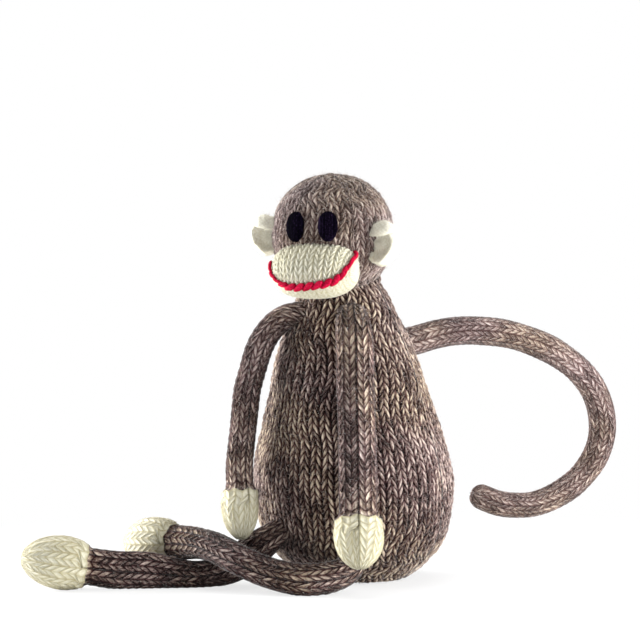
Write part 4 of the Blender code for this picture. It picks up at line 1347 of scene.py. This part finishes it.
@dataclass
class Limbs:
    """The routes of the arms, the legs and the tail on the body."""

    torso: Torso
    steps: int = 10
    shoulder_height: float = 0.127
    arm_half_width: float = 0.0076
    arm_half_thickness: float = 0.0065
    arm_stand_off: float = 0.010
    leg_radius: float = 0.0082
    leg_span: float = 0.100
    crossing_share: float = 0.76
    foot: tuple = (0.0325, 0.0120, 0.0118)
    right_arm: tuple = (
        (0.753, -38.6, 1.0), (0.708, -39.4, 1.2), (0.648, -39.0, 1.3), (0.587, -38.4, 1.4),
        (0.527, -36.9, 1.42), (0.438, -34.0, 1.37), (0.364, -31.0, 1.44), (0.304, -28.4, 1.50))
    left_arm: tuple = (
        (0.738, 35.4, 0.82), (0.681, 34.4, 0.82), (0.565, 33.0, 0.80), (0.449, 32.2, 0.80),
        (0.350, 31.4, 1.02), (0.240, 30.8, 1.75))
    right_leg: tuple = (
        (-0.102, -0.012, 0.86, 0.0, 1.00, 1.00), (-0.182, -0.061, 0.19, 0.0, 0.92, 1.00),
        (-0.278, -0.139, 0.0, 0.0, 0.76, 1.07), (-0.373, -0.220, 0.0, 0.0, 0.84, 1.05),
        (-0.483, -0.310, 0.0, 0.0, 1.06, 0.95), (-0.593, -0.405, 0.08, 0.0, 1.09, 0.93),
        (-0.692, -0.490, 0.36, 0.0, 1.05, 0.95))
    left_leg: tuple = (
        (-0.102, -0.187, 0.0, 0.0, 0.95, 1.00), (-0.205, -0.245, 0.0, 0.10, 0.88, 1.00),
        (-0.320, -0.272, 0.0, 0.32, 0.84, 1.00), (-0.460, -0.286, 0.0, 0.72, 0.82, 1.00),
        (-0.600, -0.250, 0.0, 1.03, 0.82, 1.00), (-0.697, -0.218, 0.0, 1.09, 0.86, 1.00),
        (-0.795, -0.190, 0.0, 1.03, 0.96, 1.00), (-0.885, -0.178, 0.0, 0.93, 1.06, 1.00))
    tail_root: float = 0.0086
    tail_tip: float = 0.0073
    tail_slim: float = 0.78
    leg_slim: float = 0.86
    tail_height: float = 0.1136
    tail_turn_deg: float = 34.0
    tail_reach: float = 0.125
    tail_route: tuple = (
        (0.0, 0.0), (0.110, 0.006), (0.240, 0.037), (0.384, 0.052), (0.530, 0.042),
        (0.654, 0.018), (0.774, -0.023), (0.870, -0.072), (0.945, -0.125), (1.010, -0.196),
        (1.050, -0.277), (1.064, -0.360), (1.057, -0.430), (1.033, -0.490), (0.994, -0.544),
        (0.938, -0.598), (0.870, -0.641), (0.790, -0.674), (0.700, -0.694), (0.605, -0.692),
        (0.535, -0.680), (0.489, -0.664), (0.457, -0.651))

    def arm(self, side: Side, turn_deg: float, table: tuple, seed: int, slim: float,
            hand: tuple[float, float, float]) -> Limb:
        """One arm, from rows of height, turn and distance from the body."""
        rows = np.asarray(table)
        levels = np.array([level_direction(turn) for turn in rows[:, 1]])
        heights = rows[:, 0] * self.torso.height
        distance = self.torso.radius_at(heights) + rows[:, 2] * self.arm_stand_off
        points = self.torso.axis(heights) + distance[:, None] * levels
        pivot = self.torso.seat(self.shoulder_height, turn_deg, self.arm_half_thickness)
        route = smooth_route(np.vstack([pivot, points]), self.steps)
        out = smooth_route(np.vstack([levels[:1], levels]), self.steps)
        spread = smoothstep(np.arange(len(route)) / self.steps)
        across = self.arm_half_thickness + (self.arm_half_width - self.arm_half_thickness) * spread
        label = side.name.lower()
        start = pivot - 0.014 * self.torso.normal(self.shoulder_height, turn_deg) + 0.007 * UP
        return Limb(f"arm_{label}", f"hand_{label}", f"{label}_arm", f"arm_{label}", route, out,
                    across * slim, np.full(len(route), self.arm_half_thickness * slim), start, seed,
                    hand, join=16, wrist_shift=0.0052, yarn=BROWN_PAINTED_LIT)

    def leg(self, side: Side, hip_height: float, turn_deg: float, table: tuple, seed: int,
            wrist_shift: float) -> Limb:
        """One leg, from rows of place, lift and half sizes."""
        rows = np.asarray(table)
        pivot = self.torso.seat(hip_height, turn_deg, self.leg_radius)
        half_out = self.leg_radius * rows[:, 4]
        lift = 2.0 * self.leg_radius * self.crossing_share + 0.0003
        heights = 0.0003 + half_out + rows[:, 2] * self.leg_radius + rows[:, 3] * lift
        plan = rows[:, :2] * self.leg_span + pivot[:2]
        heights -= (1.0 - self.leg_slim) * half_out
        route = smooth_route(np.vstack([pivot, np.column_stack([plan, heights])]), self.steps)
        halves = smooth_route(np.vstack([np.ones(2), rows[:, 4:]]), self.steps)
        halves *= self.leg_radius * self.leg_slim
        label = side.name.lower()
        start = pivot - 0.012 * self.torso.normal(hip_height, turn_deg)
        return Limb(f"leg_{label}", f"foot_{label}", f"{label}_leg", f"leg_{label}", route,
                    np.tile(UP, (len(route), 1)), halves[:, 1], halves[:, 0], start, seed,
                    self.foot, columns=(8.0, 12.0), join=12, root_share=0.7,
                    wrist_shift=wrist_shift)

    def tail(self, seed: int) -> Limb:
        """The tail, in its upright plane."""
        pivot = self.torso.seat(self.tail_height, 180.0, self.tail_root)
        away = -level_direction(-self.tail_turn_deg)
        plan = smooth_route(self.tail_route, self.steps // 2) * self.tail_reach
        route = pivot + plan[:, :1] * away + plan[:, 1:] * UP
        radius = np.linspace(self.tail_root, self.tail_tip, len(route)) * self.tail_slim
        out = np.tile(np.cross(away, UP), (len(route), 1))
        start = pivot - 0.012 * self.torso.normal(self.tail_height, 180.0)
        return Limb("tail", None, "tail", "tail", route, out, radius, radius, start, seed,
                    columns=(8.0, 8.0), join=3, root_share=0.72, yarn=SOFT_BROWN, relief=0.0010)

    def build(self, wardrobe: Wardrobe) -> None:
        """Knit every limb."""
        for limb in (self.arm(Side.RIGHT, -24.0, self.right_arm, 51, 0.80, (0.0260, 0.0087, 0.0080)),
                     self.arm(Side.LEFT, 38.0, self.left_arm, 61, 1.0, (0.0260, 0.0110, 0.0094)),
                     self.leg(Side.RIGHT, 0.0265, -23.0, self.right_leg, 71, 0.0045),
                     self.leg(Side.LEFT, 0.0154, 27.0, self.left_leg, 81, 0.002),
                     self.tail(91)):
            limb.build(wardrobe)


# The studio


@dataclass
class Studio:
    """A pale floor, a white surround, soft lamps and the photograph's camera."""

    floor_half: float = 1.5

    def build(self) -> None:
        """Set up the floor, the surround, the lamps and the camera."""
        self.floor()
        self.world()
        self.lamp("lamp_top", (0.05, 0.05, 1.0), (0.0, 0.0, 0.06), 0.7, 6.0)
        self.lamp("lamp_right", (1.0, 0.34, 0.40), (0.0, 0.0, 0.09), 0.8, 8.5)
        self.lamp("lamp_left", (-0.97, -0.24, 0.22), (0.0, 0.0, 0.07), 0.6, 40.0)
        self.lamp("lamp_tail", (0.50, 0.0, 0.08), (0.13, 0.10, 0.06), 0.25, 4.2)
        self.camera()

    def floor(self) -> None:
        """A white floor that keeps the shadow near the doll and fades into the surround."""
        ends = np.array([[-1, -1], [1, -1], [1, 1], [-1, 1]]) * self.floor_half
        points = np.column_stack([ends, np.full(4, -0.0002)])
        piece = make_object("floor", points, np.array([[0, 1, 2], [0, 2, 3]]))
        shader = Shader("floor_paper")
        place = shader.place()
        away = shader.add("ShaderNodeVectorMath", {0: place}, operation="LENGTH").outputs["Value"]
        fade = shader.add("ShaderNodeMapRange", {"Value": away, "From Min": 0.06, "From Max": 0.32,
                                                 "To Min": 0.72, "To Max": 1.0})
        shader.feed(shader.surface, {"Base Color": shader.ramp(shader.noise(place, 400.0), (
            (0.0, (0.86, 0.86, 0.86)), (1.0, (0.92, 0.92, 0.92)))), "Roughness": 0.9,
            "Specular IOR Level": 0.2})
        rays = shader.add("ShaderNodeLightPath")
        seen = shader.math("MAXIMUM", rays.outputs["Is Camera Ray"], rays.outputs["Is Glossy Ray"])
        factor = shader.math("MULTIPLY", seen, fade.outputs[0])
        glow = shader.add("ShaderNodeEmission", {"Color": (1.0, 1.0, 1.0, 1.0), "Strength": 1.0})
        mix = shader.add("ShaderNodeMixShader", {0: factor, 1: shader.surface.outputs[0],
                                                 2: glow.outputs[0]})
        shader.feed(shader.tree.nodes["Material Output"], {"Surface": mix.outputs[0]})
        piece.data.materials.append(shader.material)

    def world(self) -> None:
        """A surround that the camera sees as white and that lights the doll softly."""
        world = bpy.data.worlds.new("surround")
        bpy.context.scene.world = world
        world.use_nodes = True
        tree = world.node_tree
        rays = tree.nodes.new("ShaderNodeLightPath").outputs
        seen = rays["Is Camera Ray"]
        for kind in ("Is Glossy Ray", "Is Transmission Ray"):
            either = tree.nodes.new("ShaderNodeMath")
            either.operation = "MAXIMUM"
            tree.links.new(seen, either.inputs[0])
            tree.links.new(rays[kind], either.inputs[1])
            seen = either.outputs[0]
        soft = tree.nodes["Background"]
        soft.inputs["Color"].default_value = (0.96, 0.97, 1.0, 1.0)
        soft.inputs["Strength"].default_value = 0.38
        white = tree.nodes.new("ShaderNodeBackground")
        white.inputs["Color"].default_value = (1.0, 1.0, 1.0, 1.0)
        mix = tree.nodes.new("ShaderNodeMixShader")
        tree.links.new(seen, mix.inputs[0])
        tree.links.new(soft.outputs[0], mix.inputs[1])
        tree.links.new(white.outputs[0], mix.inputs[2])
        tree.links.new(mix.outputs[0], tree.nodes["World Output"].inputs["Surface"])

    def lamp(self, name: str, place: tuple, target: tuple, size: float, power: float) -> None:
        """A square soft lamp that points at a place on the doll."""
        light = bpy.data.lights.new(name, "AREA")
        light.size = size
        light.energy = power
        made = bpy.data.objects.new(name, light)
        bpy.context.collection.objects.link(made)
        self.aim(made, np.array(place), np.array(target))

    def aim(self, made: bpy.types.Object, place: Array, target: Array) -> None:
        """Put an object at a place with its -Z towards a target and its Y upwards."""
        from mathutils import Vector
        made.location = Vector(place)
        made.rotation_euler = Vector(target - place).to_track_quat("-Z", "Y").to_euler()

    def camera(self) -> None:
        """The camera at the photograph's viewing angle."""
        data = bpy.data.cameras.new("camera")
        data.lens = 112.5
        data.sensor_width = 36.0
        data.clip_end = 10.0
        made = bpy.data.objects.new("camera", data)
        bpy.context.collection.objects.link(made)
        self.aim(made, np.array([0.483951, -0.874227, 0.135478]),
                 np.array([-0.016037, -0.008223, 0.128497]))
        bpy.context.scene.camera = made
        bpy.context.scene.view_settings.view_transform = "Standard"


def steel() -> bpy.types.Material:
    """The drawn steel of the wire in the tail, with fine lines along it."""
    shader = Shader("drawn_steel")
    grain = shader.noise(shader.place(), 900.0)
    shader.feed(shader.surface, {"Base Color": shader.ramp(grain, (
        (0.3, (0.42, 0.42, 0.42)), (0.7, (0.56, 0.56, 0.55)))), "Metallic": 1.0, "Roughness": 0.35})
    return shader.material


def main() -> None:
    """Build the doll and the studio, and report each piece."""
    logging.basicConfig(level=logging.INFO, format="%(name)s %(message)s")
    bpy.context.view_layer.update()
    wardrobe = Wardrobe()
    torso = Torso()
    head = Head(torso)
    torso.build(wardrobe)
    head.build(wardrobe)
    Muzzle(head).build(wardrobe)
    for side, turn_deg, lift_deg, half_height, reach, forward in (
            (Side.RIGHT, 72.0, 0.0, 0.0094, 0.0094, 0.0005),
            (Side.LEFT, 76.0, -8.0, 0.0106, 0.0098, 0.0036)):
        Eye(head, side).build(wardrobe)
        Ear(head, side, turn_deg, lift_deg, half_height, reach, forward=forward).build(wardrobe)
    neck_share, neck_radius, neck_gap = 0.907, 0.0186, 0.0013
    neck_axis = unit(head.centre - torso.axis(neck_share * torso.height))
    drop = math.sqrt((head.radius + neck_gap) ** 2 - neck_radius ** 2)
    DrawnYarn("neck_gather", "neck_gather_yarn", "neck", head.centre - drop * neck_axis, neck_axis,
              neck_radius, 0.0010, 30).build(wardrobe)
    DrawnYarn("crown_gather", "crown_closing_yarn", "head", head.centre + head.radius * head.axis
              * 0.985, head.axis, 0.0011, 0.0008, 4).build(wardrobe)
    Limbs(torso).build(wardrobe)
    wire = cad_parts["tail_wire"]
    wire.data.materials.clear()
    wire.data.materials.append(steel())
    Studio().build()
    LOG.info("all pieces: %d triangles", wardrobe.triangles)


if __name__ == "__main__":
    main()
